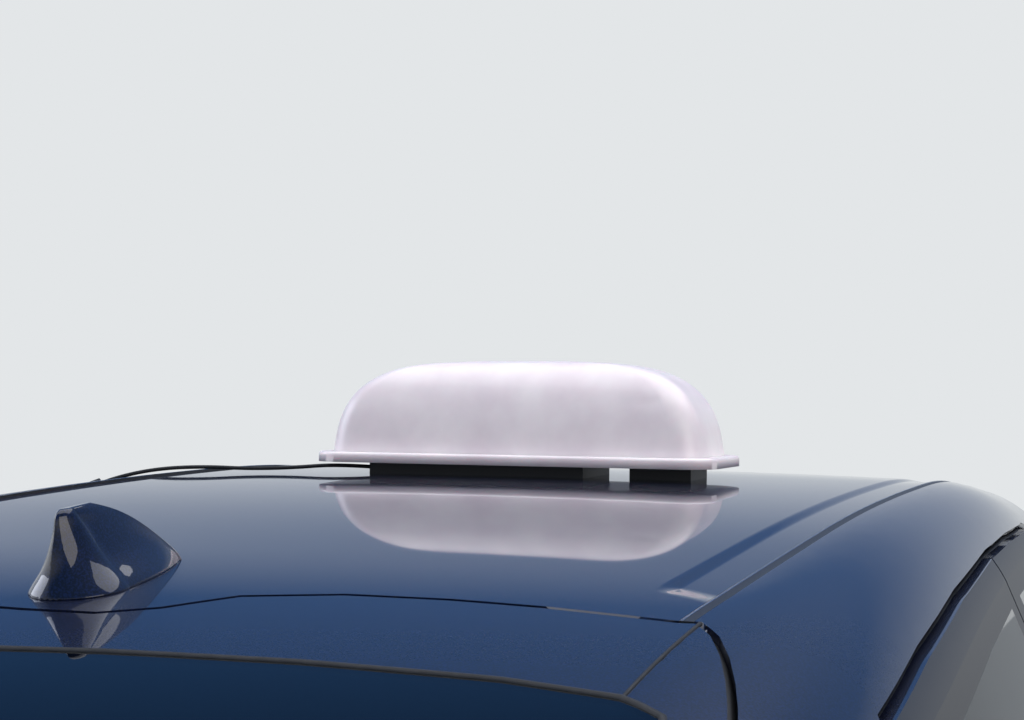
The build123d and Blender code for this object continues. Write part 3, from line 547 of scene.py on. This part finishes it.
def ring_tree():
    """Copies of a piece turned about X, as real geometry; gives the tree and its inputs' identifiers."""
    tree = bpy.data.node_groups.new("ring_of_copies", "GeometryNodeTree")
    face = tree.interface
    face.new_socket("Piece", in_out="INPUT", socket_type="NodeSocketGeometry")
    count = face.new_socket("Count", in_out="INPUT", socket_type="NodeSocketInt")
    finish = face.new_socket("Finish", in_out="INPUT", socket_type="NodeSocketMaterial")
    face.new_socket("Ring", in_out="OUTPUT", socket_type="NodeSocketGeometry")
    given = add(tree, "NodeGroupInput")
    points = add(tree, "GeometryNodeMeshLine", Count=given.outputs["Count"], Offset=(0, 0, 0))
    step = add(tree, "ShaderNodeMath", {"operation": "DIVIDE"}, i0=2 * math.pi, i1=given.outputs["Count"])
    index = add(tree, "GeometryNodeInputIndex")
    angle = add(tree, "ShaderNodeMath", {"operation": "MULTIPLY"}, i0=index.outputs[0], i1=step.outputs[0])
    turned = add(tree, "ShaderNodeCombineXYZ", X=angle.outputs[0])
    copies = add(tree, "GeometryNodeInstanceOnPoints", Points=points.outputs["Mesh"],
                 Instance=given.outputs["Piece"], Rotation=turned.outputs[0])
    real = add(tree, "GeometryNodeRealizeInstances", Geometry=copies.outputs[0])
    painted = add(tree, "GeometryNodeSetMaterial", Geometry=real.outputs[0], Material=given.outputs["Finish"])
    add(tree, "NodeGroupOutput", Ring=painted.outputs[0])
    return tree, count.identifier, finish.identifier


RING_TREE, COUNT_INPUT, FINISH_INPUT = ring_tree()


def ring_of(name, bm, count, finish, centre, body):
    """A piece repeated round a wheel's axle."""
    mesh = bpy.data.meshes.new(name)
    bmesh.ops.recalc_face_normals(bm, faces=bm.faces)
    bm.to_mesh(mesh)
    bm.free()
    maker = bpy.data.objects.new(name, mesh)
    bpy.context.scene.collection.objects.link(maker)
    copies = maker.modifiers.new("ring", "NODES")
    copies.node_group = RING_TREE
    copies[COUNT_INPUT] = count
    copies[FINISH_INPUT] = finish
    done = plain_mesh(maker)
    bpy.data.objects.remove(maker)
    done.transform(Matrix.Translation(centre))
    done.materials.clear()
    new_piece(name, done, body, finish)


def lathed(name, profile, centre, body, finish, steps=128, sign=1, angle=35):
    """A closed outline of (radius, x) in millimetres turned about the wheel's axle."""
    bm = bmesh.new()
    turns = [(math.cos(t), math.sin(t)) for t in np.arange(steps) * 2 * math.pi / steps]
    rings = [[bm.verts.new((sign * x * MM, r * MM * s, r * MM * c)) for r, x in profile] for c, s in turns]
    for one, two in zip(rings, rings[1:] + rings[:1]):
        for i in range(len(profile)):
            j = (i + 1) % len(profile)
            bm.faces.new((one[i], one[j], two[j], two[i]))
    bmesh.ops.recalc_face_normals(bm, faces=bm.faces)
    mesh = bpy.data.meshes.new(name)
    bm.to_mesh(mesh)
    bm.free()
    mesh.transform(Matrix.Translation(centre))
    mesh.shade_smooth()
    mesh.set_sharp_from_angle(angle=math.radians(angle))
    made = new_piece(name, mesh, body, finish)
    return made


# Tyres: a carcass 8 mm lower than the solid, with the tread standing on it

CARCASS_HALF = [(207, 82), (211, 90), (222, 96), (227, 98.4), (229, 99.4), (232, 99.4), (234, 99.6),
                (254, 102.3), (270, 101.6), (284, 99.4), (296, 95.6), (303, 90), (307, 84), (308, 76)]
TREAD_PITCHES, TREAD_TOP, TREAD_FOOT, TREAD_DEPTH, BLOCK_HALF = 64, 315.6, 306, 6, 12.6
TREAD_RIBS = [([(-12, 0), (12, 0)], 0.0005), ([(17, 0), (42, 0)], 0.0011), ([(-42, 0), (-17, 0)], 0.0011),
              ([(48, 0), (77, 0), (92, 11)], 0.0004), ([(-92, 11), (-77, 0), (-48, 0)], 0.0004)]
BOLTS, BOLT_RING, BOLT_FACE = 5, 47, 50
WASHER = [(BOLT_FACE - 1, 11.5), (BOLT_FACE + 1.6, 11.5)]
HEXAGON = [(BOLT_FACE + 1.6, 9.8), (BOLT_FACE + 7, 9.8), (BOLT_FACE + 8.4, 7.8)]


def tread_pitch():
    """One pitch of tread: five blocks across, their ends slanted."""
    bm = bmesh.new()
    for top, slant in TREAD_RIBS:
        outline = [(x, TREAD_TOP - drop) for x, drop in top]
        outline += [(x, min(TREAD_FOOT, TREAD_TOP - drop - TREAD_DEPTH)) for x, drop in reversed(top)]
        ends = []
        for way in (-1, 1):
            at = [way * BLOCK_HALF / TREAD_TOP + slant * x for x, _ in outline]
            ends.append([bm.verts.new((x * MM, -r * MM * math.sin(a), r * MM * math.cos(a)))
                         for (x, r), a in zip(outline, at)])
        bm.faces.new(ends[0])
        bm.faces.new(ends[1])
        for i in range(len(outline)):
            j = (i + 1) % len(outline)
            bm.faces.new((ends[0][i], ends[0][j], ends[1][j], ends[1][i]))
    return bm


def bolt(sign):
    """One hexagon bolt head on its washer face, with a bevelled rim."""
    bm = bmesh.new()
    for levels, corners in ((WASHER, 24), (HEXAGON, 6)):
        turns = np.arange(corners) * 2 * math.pi / corners
        rings = [[bm.verts.new((sign * x * MM, r * MM * math.sin(a), (BOLT_RING + r * math.cos(a)) * MM))
                  for a in turns] for x, r in levels]
        bm.faces.new(rings[0])
        bm.faces.new(rings[-1])
        for one, two in zip(rings, rings[1:]):
            for i in range(corners):
                j = (i + 1) % corners
                bm.faces.new((one[i], one[j], two[j], two[i]))
    return bm


CAP = [(2, BOLT_FACE - 2), (29, BOLT_FACE - 2), (29, BOLT_FACE + 3), (26, BOLT_FACE + 6), (14, BOLT_FACE + 8),
       (2, BOLT_FACE + 8.5)]

for side, sign in SIDES:
    for end in ("front", "rear"):
        low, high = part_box(f"tyre_{end}_{side}")
        centre = (Vector(low) + Vector(high)) / 2
        body = f"{end}_wheel_{side}_body"
        carcass = CARCASS_HALF + [(r, -x) for r, x in reversed(CARCASS_HALF)]
        made = lathed(f"tyre_carcass_{end}_{side}", carcass, centre, body, tyre_rubber)
        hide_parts(f"tyre_{end}_{side}")
        ring_of(f"tyre_tread_{end}_{side}", tread_pitch(), TREAD_PITCHES, tyre_rubber, centre, body)
        ring_of(f"wheel_bolts_{end}_{side}", bolt(sign), BOLTS, zinc, centre, body)
        lathed(f"wheel_cap_{end}_{side}", CAP, centre, body, abs_black, steps=48, sign=sign)

# Mirror glasses on the housings' rear faces

MIRROR_GLASS = (916, 1032, 1009, 1103)
MIRROR_FACE, MIRROR_SUNK, MIRROR_PROUD, MIRROR_CORNER = 768, 0.5, 2.0, 22

for side, sign in SIDES:
    x0, x1, z0, z1 = MIRROR_GLASS
    bm = bmesh.new()
    loops = []
    for y in (MIRROR_FACE + MIRROR_SUNK, MIRROR_FACE - MIRROR_PROUD):
        loop = []
        for i, (cx, cz) in enumerate(((x1, z1), (x0, z1), (x0, z0), (x1, z0))):
            ix = cx - MIRROR_CORNER if cx == x1 else cx + MIRROR_CORNER
            iz = cz - MIRROR_CORNER if cz == z1 else cz + MIRROR_CORNER
            for t in np.linspace(90 * i, 90 * i + 90, 7):
                at = math.radians(t)
                loop.append(bm.verts.new((sign * (ix + MIRROR_CORNER * math.cos(at)) * MM, y * MM,
                                          (iz + MIRROR_CORNER * math.sin(at)) * MM)))
        loops.append(loop)
        bm.faces.new(loop)
    for i in range(len(loops[0])):
        j = (i + 1) % len(loops[0])
        bm.faces.new((loops[0][i], loops[0][j], loops[1][j], loops[1][i]))
    bmesh.ops.recalc_face_normals(bm, faces=bm.faces)
    mesh = bpy.data.meshes.new(f"mirror_glass_{side}")
    bm.to_mesh(mesh)
    bm.free()
    new_piece(f"mirror_glass_{side}", mesh, BODY[f"mirror_{side}"], silvered)

# Seats: stuffed cushions, backs and head rests, each swollen by its own air pressure, then sewn in channels

REMESH, SHRINK, SWELL_CAP, PRESSURE, SWELL_FRAMES = 0.014, 0.008, 0.013, 4.0, 20
PAD_ROUND, CHANNEL_DEPTH, CHANNEL_HALF, FORWARD_SHARE = 0.024, 0.006, 0.007, 0.6
CUSHION_FOOT, BACK_INSET, HEAD_HALF = 318, 12, 125


def cushion_sides(hip, back):
    """The solid seat's three outlines, seen from the side."""
    return {
        "cushion": [(back + 90, CUSHION_FOOT), (hip - 4, CUSHION_FOOT), (hip + 20, 398), (hip, 440),
                    (hip - 60, 452), (back + 60, 418)],
        "back": [(back + 92, 426), (back + 84, 560), (back - 14, 872), (back - 55, 898), (back - 98, 874),
                 (back - 55, 560), (back - 26, 420)],
        "head": [(back - 52, 930), (back - 64, 1072), (back - 100, 1088), (back - 130, 1066),
                 (back - 116, 930)],
    }


def stuffed(outline, x0, x1, channels):
    """A mesh swept from a side outline, softened, swollen and sewn."""
    bm = bmesh.new()
    ends = [[bm.verts.new((x * MM, y * MM, z * MM)) for y, z in outline] for x in (x0, x1)]
    bm.faces.new(ends[0])
    bm.faces.new(ends[1])
    for i in range(len(outline)):
        j = (i + 1) % len(outline)
        bm.faces.new((ends[0][i], ends[0][j], ends[1][j], ends[1][i]))
    bmesh.ops.recalc_face_normals(bm, faces=bm.faces)
    bmesh.ops.bevel(bm, geom=bm.edges[:], offset=PAD_ROUND, segments=3, profile=0.6, affect="EDGES")
    mesh = bpy.data.meshes.new("pad")
    bm.to_mesh(mesh)
    bm.free()
    maker = bpy.data.objects.new("pad", mesh)
    bpy.context.scene.collection.objects.link(maker)
    voxels = maker.modifiers.new("voxels", "REMESH")
    voxels.mode, voxels.voxel_size = "VOXEL", REMESH
    maker.data = plain_mesh(maker)
    maker.modifiers.clear()
    p = points_of(maker.data)
    turned = np.zeros_like(p).ravel()
    maker.data.vertices.foreach_get("normal", turned)
    start = p - SHRINK * turned.reshape(-1, 3)
    maker.data.vertices.foreach_set("co", start.ravel())
    maker.data.update()
    swell = maker.modifiers.new("swell", "CLOTH")
    swell.settings.use_pressure = True
    swell.settings.uniform_pressure_force = PRESSURE
    swell.settings.effector_weights.gravity = 0.0
    scene = bpy.context.scene
    for frame_at in range(1, SWELL_FRAMES + 1):
        scene.frame_set(frame_at)
    swollen = points_of(plain_mesh(maker))
    maker.modifiers.clear()
    scene.frame_set(1)
    moved = swollen - start
    far = np.linalg.norm(moved, axis=1)
    moved *= np.minimum(1, SWELL_CAP / np.maximum(far, 1e-9))[:, None]
    maker.data.vertices.foreach_set("co", (start + moved).ravel())
    maker.data.update()
    finer = maker.modifiers.new("finer", "SUBSURF")
    finer.levels = finer.render_levels = 1
    done = plain_mesh(maker)
    bpy.data.objects.remove(maker)
    p = points_of(done)
    out = np.zeros(p.size)
    done.vertices.foreach_get("normal", out)
    out = out.reshape(-1, 3)
    faces_up = np.clip(out[:, 1] * FORWARD_SHARE + out[:, 2], 0, 1)
    for x in channels:
        near = np.exp(-((p[:, 0] - x * MM) / CHANNEL_HALF) ** 2)
        p -= out * (CHANNEL_DEPTH * near * faces_up)[:, None]
    done.vertices.foreach_set("co", p.ravel())
    done.shade_smooth()
    return done


def plinth(name, x0, x1, y0, y1, z0, z1):
    """The moulded base under a seat cushion."""
    bm = bmesh.new()
    bmesh.ops.create_cube(bm, size=1)
    for v in bm.verts:
        v.co = (((x1 - x0) * v.co.x + (x0 + x1) / 2) * MM, ((y1 - y0) * v.co.y + (y0 + y1) / 2) * MM,
                ((z1 - z0) * v.co.z + (z0 + z1) / 2) * MM)
    bmesh.ops.bevel(bm, geom=bm.edges[:], offset=0.008, segments=2, profile=0.5, affect="EDGES")
    mesh = bpy.data.meshes.new(name)
    bm.to_mesh(mesh)
    bm.free()
    new_piece(name, mesh, "car_body", cabin_trim)


def seat(name, node, x0, x1, hip, back, channels, both_sides):
    """A seat's cushion, back and head rest, and their mirror images where it has a twin on the other side."""
    middle = (x0 + x1) / 2
    spans = {"cushion": (x0, x1), "back": (x0 + BACK_INSET, x1 - BACK_INSET),
             "head": (middle - HEAD_HALF, middle + HEAD_HALF)}
    for part, outline in cushion_sides(hip, back).items():
        mesh = stuffed(outline, *spans[part], channels if part != "head" else ())
        copies = [(mesh, f"{name}_{part}")]
        if both_sides:
            flipped_mesh = mesh.copy()
            flipped_mesh.transform(Matrix.Scale(-1, 4, (1, 0, 0)))
            flipped_mesh.flip_normals()
            copies = [(mesh, f"{name}_{part}_right"), (flipped_mesh, f"{name}_{part}_left")]
        for shape, called in copies:
            shape.name = called
            made = new_piece(called, shape, "car_body", cloth)
            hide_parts(node)


seat("front_seat", "front_seats", 156, 604, hip=560, back=90, channels=(262, 498), both_sides=True)
seat("rear_bench", "rear_seat", -620, 620, hip=-330, back=-790, channels=(-420, -200, 200, 420),
     both_sides=False)
PLINTH_LOW, PLINTH_HIGH = 250.5, 322
PLINTHS = {"seat_base": (172, 588, 196, 540), "bench_base": (156, 600, -690, -345)}
for side, sign in SIDES:
    for name, (inner, outer, back, front) in PLINTHS.items():
        plinth(f"{name}_{side}", *sorted((sign * inner, sign * outer)), back, front, PLINTH_LOW, PLINTH_HIGH)

# The sign's dome: the solid's own rows joined by smooth curves, with two shallow dimples in its rear face.
# A row has its height, half length, half depth and corner radius.

DOME = [(0, 246, 80, 34), (33, 242, 78, 33), (57, 234, 74, 32), (80, 219, 67, 30), (96, 197, 57, 27),
        (107, 172, 46, 24), (114, 130, 32, 18), (116.9, 60, 14, 10)]
DOME_Y, DOME_RINGS, DOME_SMOOTHINGS, CORNER_STEPS, SIDE_STEPS = 21 * MM, 44, 14, 10, 22
DIMPLES = [(-118, 52), (178, 66)]
DIMPLE_SIZE, DIMPLE_DEPTH = 9 * MM, 1.5 * MM


def rounded_ring(half_x, half_y, radius):
    """A rounded rectangle as (x, y) points, anticlockwise."""
    ring = []
    for turn, (sx, sy) in enumerate(((1, -1), (1, 1), (-1, 1), (-1, -1))):
        centre = Vector((sx * (half_x - radius), sy * (half_y - radius)))
        start = math.radians(90 * turn - 90)
        for i in range(CORNER_STEPS + 1):
            angle = start + math.radians(90) * i / CORNER_STEPS
            ring.append(centre + radius * Vector((math.cos(angle), math.sin(angle))))
        sx, sy = ((1, 1), (-1, 1), (-1, -1), (1, -1))[turn]
        after = Vector((sx * (half_x - radius), sy * (half_y - radius)))
        after += radius * Vector(((1, 0), (0, 1), (-1, 0), (0, -1))[turn])
        steps = SIDE_STEPS if turn % 2 else SIDE_STEPS // 3
        ring += [ring[-1].lerp(after, i / steps) for i in range(1, steps)]
    return ring


def sign_dome():
    """The closed dome that stands on the sign's rim."""
    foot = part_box("sign_shell")[0][2]
    table = np.array(DOME, float) * MM
    along = np.concatenate([[0], np.cumsum(np.hypot(np.diff(table[:, 0]), np.diff(table[:, 1])))])
    spots = np.linspace(0, along[-1], DOME_RINGS)
    rows = np.stack([np.interp(spots, along, column) for column in table.T], 1)
    for _ in range(DOME_SMOOTHINGS):
        rows[1:-1] = (rows[:-2] + 2 * rows[1:-1] + rows[2:]) / 4
    bm = bmesh.new()
    rings = [[bm.verts.new((x, DOME_Y + y, foot + h)) for x, y in rounded_ring(a, b, r)]
             for h, a, b, r in rows.tolist()]
    for low, high in zip(rings, rings[1:]):
        for i in range(len(low)):
            j = (i + 1) % len(low)
            bm.faces.new((low[i], low[j], high[j], high[i]))
    cap = bm.faces.new(rings[-1])
    bmesh.ops.poke(bm, faces=[cap])
    bm.faces.new(rings[0][::-1])
    for v in bm.verts:
        for x, up_by in DIMPLES:
            away = math.hypot(v.co.x - x * MM, v.co.z - foot - up_by * MM) / DIMPLE_SIZE
            if v.co.y < DOME_Y and away < 1:
                v.co.y += DIMPLE_DEPTH * (1 - away ** 2) ** 2
    bmesh.ops.recalc_face_normals(bm, faces=bm.faces)
    mesh = bpy.data.meshes.new("sign_dome")
    bm.to_mesh(mesh)
    bm.free()
    mesh.shade_smooth()
    mesh.set_sharp_from_angle(angle=math.radians(50))
    made = new_piece("sign_dome", mesh, BODY["sign_shell"], sign_white)
    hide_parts("sign_shell")


sign_dome()

# The sign's lead: its route's points repeated from the part's source

LEAD = [(-194, -5, 1465), (-250, -14, 1468), (-305, -32, 1463), (-362, -50, 1461), (-420, -62, 1463),
        (-476, -84, 1460), (-525, -104, 1449), (-547, -112, 1440)]
LEAD_RADIUS = 0.0025


def nurbs(name, points, radius, material):
    """A round cord along a smooth line."""
    line = bpy.data.curves.new(name, "CURVE")
    line.dimensions = "3D"
    run = line.splines.new("NURBS")
    run.points.add(len(points) - 1)
    for point, place_at in zip(run.points, points):
        point.co = [c * MM for c in place_at] + [1.0]
    run.order_u = 3
    run.use_endpoint_u = True
    line.bevel_depth = radius
    line.resolution_u = 12
    line.use_fill_caps = True
    made = bpy.data.objects.new(name, line)
    bpy.context.scene.collection.objects.link(made)
    line.materials.append(material)
    return made


lead = nurbs("lead_run", LEAD, LEAD_RADIUS, rubber)
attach(lead, "car_body")
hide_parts("sign_lead")


def route_length(points):
    """The length of the route's own smooth line."""
    line = nurbs("measure", points, 0, rubber)
    mesh = bpy.data.meshes.new_from_object(line)
    ends = [[mesh.vertices[i].co for i in e.vertices] for e in mesh.edges]
    total = sum((one - two).length for one, two in ends)
    bpy.data.objects.remove(line)
    return total


LEAD_LENGTH = route_length(LEAD)


# Rubber seals in the gaps, so that each shut line reads dark, and a thin black bead in the seams of the
# tailgate's strip as painted shade down in them. Side lines are (y, z) and top lines (x, y), and SIDE_X gives
# the half width where a side line's cut starts.

SIDE_X = [(150, 897), (940, 897), (985, 770), (1200, 678), (1370, 600), (1400, 572)]
OPENING = [(900, 290), (900, 1108), (810, 1193), (560, 1356), (310, 1393), (60, 1397), (-165, 1395),
           (-460, 1384), (-720, 1368), (-916, 1351), (-1010, 1290), (-1120, 1160), (-1165, 1010), (-1130, 820),
           (-985, 640), (-905, 500), (-885, 290)]
DOOR_SPLIT = [(-165, 300), (-165, 1394)]
SEAM = [(0, -993), (55, -991), (92, -968), (128, -922), (200, -897), (280, -891), (350, -894), (447, -907)]
LID_SIDE = [(462, -905), (480, -932), (495, -968), (508, -1008), (517, -1041), (535, -1120), (560, -1250),
            (592, -1500), (614, -1760), (630, -2020), (636, -2190)]
BACKLIGHT = [(0, -1086), (114, -1072), (250, -1062), (381, -1061), (457, -1071), (486, -1088), (500, -1130),
             (524, -1250), (555, -1500), (576, -1760), (566, -1930), (540, -1950), (0, -1972)]
DITCH_LINE = [(447, -907), (452, -816), (460, -583), (468, -307), (480, 18), (487, 310), (498, 556)]
DITCH_OUT, LID_IN = 1.4, 3
STRIP_SEAM = [(462, -909), (460, -985), (458, -1072)]
SCREEN = [(0, 566), (250, 568), (480, 576), (505, 600), (585, 810), (660, 1070), (668, 1120), (600, 1166),
          (350, 1208), (0, 1220)]
BONNET = [(0, 1284), (350, 1280), (600, 1272), (722, 1262), (724, 1500), (716, 1900), (704, 2004),
          (552, 2150), (430, 2196)]
CUT_SLANT = 0.35

# Each strip's depth below the skin and its radius, in metres
DOOR_SEAL, POST_SEAL = (0.013, 0.0065), (0.013, 0.0055)
TAILGATE_SEAL, BONNET_SEAL = (0.012, 0.0062), (0.016, 0.0062)
BACKLIGHT_SEAL, SCREEN_SEAL = (0.0015, 0.0035), (0.0015, 0.004)
# The second on the next line is the thin black bead of painted shade in the tailgate strip's seams
DITCH_TRIM, SEAM_SHADE_BEAD = (0.0006, 0.0011), (0.0004, 0.0016)


def solve(make_point, low, high):
    """Where a straight line of points meets the skin from inside, by halving."""
    for _ in range(40):
        mid = (low + high) / 2
        inside = height_off_skin(make_point(mid)) < 0
        low, high = np.where(inside, mid, low), np.where(inside, high, mid)
    return (low + high) / 2


def resampled(points, step):
    """Points spaced evenly along straight runs."""
    kept = [points[0]]
    for a, b in zip(points, points[1:]):
        n = max(1, round(math.dist(a, b) / step))
        kept += [tuple(p + (q - p) * i / n for p, q in zip(a, b)) for i in range(1, n + 1)]
    return np.array(kept) * MM


def on_top(points, step=20):
    """Plan points (x, y) brought up to the skin."""
    p = resampled(points, step)
    z = solve(lambda h: np.stack([p[:, 0], p[:, 1], h], 1), np.full(len(p), 0.55), np.full(len(p), 1.6))
    return np.stack([p[:, 0], p[:, 1], z], 1)


def on_side(points, step=20):
    """Side points (y, z) of a slanted cut brought out to the skin on the right."""
    p = resampled(points, step)
    plan_x = np.interp(p[:, 1], *np.array(SIDE_X).T * MM)
    x = solve(lambda h: np.stack([h, p[:, 0], p[:, 1]], 1), np.full(len(p), 0.3), np.full(len(p), 1.0))
    return np.stack([x, p[:, 0] + CUT_SLANT * (plan_x - x), p[:, 1]], 1)


def seal(name, line, sunk, body="car_body", material=rubber):
    """A round strip along a line on the skin, sunk below it."""
    depth, radius = sunk
    _, out = skin(line)
    line = line - out * depth
    curve = bpy.data.curves.new(name, "CURVE")
    curve.dimensions = "3D"
    run = curve.splines.new("POLY")
    run.points.add(len(line) - 1)
    run.points.foreach_set("co", np.hstack([line, np.ones((len(line), 1))]).ravel())
    curve.bevel_depth, curve.bevel_resolution, curve.use_fill_caps = radius, 1, True
    maker = bpy.data.objects.new(name + "_line", curve)
    bpy.context.scene.collection.objects.link(maker)
    mesh = bpy.data.meshes.new_from_object(maker)
    bpy.data.objects.remove(maker)
    mesh.name = name
    mesh.shade_smooth()
    new_piece(name, mesh, body, material)


def whole(half):
    """A half outline and its mirror image."""
    return half + [(-x, y) for x, y in reversed(half) if x > 0]


HANDS = [(side, np.array([sign, 1.0, 1.0])) for side, sign in (("right", 1.0), ("left", -1.0))]
for side, hand in HANDS:
    seal(f"door_seal_{side}", on_side(OPENING) * hand, DOOR_SEAL)
    seal(f"post_seal_{side}", on_side(DOOR_SPLIT) * hand, POST_SEAL)
    trim = on_top([(x + DITCH_OUT, y) for x, y in DITCH_LINE], 30) * hand
    seal(f"ditch_strip_{side}", trim, DITCH_TRIM, material=bright)
lid_edge = [(x - LID_IN, y) for x, y in reversed(SEAM + LID_SIDE)]
seal("tailgate_seal", on_top(whole(lid_edge)), TAILGATE_SEAL)
# A thin black bead along each seam of the tailgate's strip: painted shade down in the seam
for side, hand in HANDS:
    seal(f"strip_seam_{side}", on_top(STRIP_SEAM, 10) * hand, SEAM_SHADE_BEAD, "tailgate_body")
seal("bonnet_seal", on_top([(-x, y) for x, y in BONNET[::-1] if x > 0] + BONNET), BONNET_SEAL)
seal("backlight_seal", on_top(whole(BACKLIGHT) + BACKLIGHT[:1]), BACKLIGHT_SEAL, "tailgate_body")
seal("windscreen_seal", on_top(whole(SCREEN) + SCREEN[:1]), SCREEN_SEAL)


# The plain studio: a pale floor and soft light from above

def area(name, at, aim, size, size_y, power, tone="#ffffff"):
    """A soft rectangular lamp."""
    lamp = bpy.data.lights.new(name, "AREA")
    lamp.shape, lamp.size, lamp.size_y, lamp.energy = "RECTANGLE", size, size_y, power
    lamp.color = tint(tone)[:3]
    made = bpy.data.objects.new(name, lamp)
    made.location = at
    made.rotation_euler = (Vector(aim) - Vector(at)).to_track_quat("-Z", "Y").to_euler()
    bpy.context.scene.collection.objects.link(made)


area("soft_top", (0.5, 0.5, 6.0), (0, 0, 0), 6, 9, 330)
area("soft_left", (-6.5, -1.0, 3.6), (0, 0, 0.8), 5, 3, 150, "#eef3ff")
area("soft_right", (6.5, -3.0, 3.0), (0, 0, 0.8), 5, 3, 110, "#fff8f0")

FADE_FROM, FADE_TO, FLOOR_HALF = 3.5, 11.0, 60
# Rolled floor paint, matt and pale: the camera sees it fade into the backdrop
floor_grey, tree, surface = material("floor_paint_rolled", "#e4e4e2", Roughness=0.85)
away = add(tree, "ShaderNodeVectorMath", {"operation": "LENGTH"}, i0=place(tree))
fade = add(tree, "ShaderNodeMapRange", {"interpolation_type": "SMOOTHSTEP"}, i0=away.outputs["Value"],
           i1=FADE_FROM, i2=FADE_TO)
ray = add(tree, "ShaderNodeLightPath")
share = add(tree, "ShaderNodeMath", {"operation": "MULTIPLY"}, i0=fade.outputs[0],
            i1=ray.outputs["Is Camera Ray"])
glow = add(tree, "ShaderNodeEmission", Color=tint(BACKDROP_GREY), Strength=1.0)
blend = add(tree, "ShaderNodeMixShader", i0=share.outputs[0], i1=surface.outputs[0], i2=glow.outputs[0])
tree.links.new(blend.outputs[0], tree.nodes["Material Output"].inputs["Surface"])
bm = bmesh.new()
bmesh.ops.create_grid(bm, x_segments=1, y_segments=1, size=FLOOR_HALF)
floor_mesh = bpy.data.meshes.new("floor")
bm.to_mesh(floor_mesh)
bm.free()
floor_mesh.materials.append(floor_grey)
floor = bpy.data.objects.new("floor", floor_mesh)
bpy.context.scene.collection.objects.link(floor)

# The backdrop is plain grey to the camera, a blue sky in reflections and through glass, and soft grey as light
world = bpy.data.worlds.new("studio")
bpy.context.scene.world = world
world.use_nodes = True
sky = world.node_tree.nodes["Background"]
sky.inputs["Strength"].default_value = 1.0
tree = world.node_tree
up = add(tree, "ShaderNodeSeparateXYZ", Vector=add(tree, "ShaderNodeTexCoord").outputs["Generated"])
backdrop = add(tree, "ShaderNodeValToRGB", Fac=up.outputs["Z"])
backdrop.color_ramp.elements[0].position, backdrop.color_ramp.elements[0].color = 0.02, tint("#dde1e4")
backdrop.color_ramp.elements[1].position, backdrop.color_ramp.elements[1].color = 0.30, tint("#3f689e")
ray = add(tree, "ShaderNodeLightPath")
mirrored = add(tree, "ShaderNodeMath", {"operation": "MAXIMUM"}, i0=ray.outputs["Is Glossy Ray"],
               i1=ray.outputs["Is Transmission Ray"])
lit = add(tree, "ShaderNodeMix", {"data_type": "RGBA"}, Factor=mirrored.outputs[0], i6=tint("#b9bdc2"),
          i7=backdrop.outputs["Color"])
seen = add(tree, "ShaderNodeMix", {"data_type": "RGBA"}, Factor=ray.outputs["Is Camera Ray"],
           i6=lit.outputs[2], i7=tint(BACKDROP_GREY))
tree.links.new(seen.outputs[2], sky.inputs["Color"])

bpy.context.scene.view_settings.view_transform = "Standard"
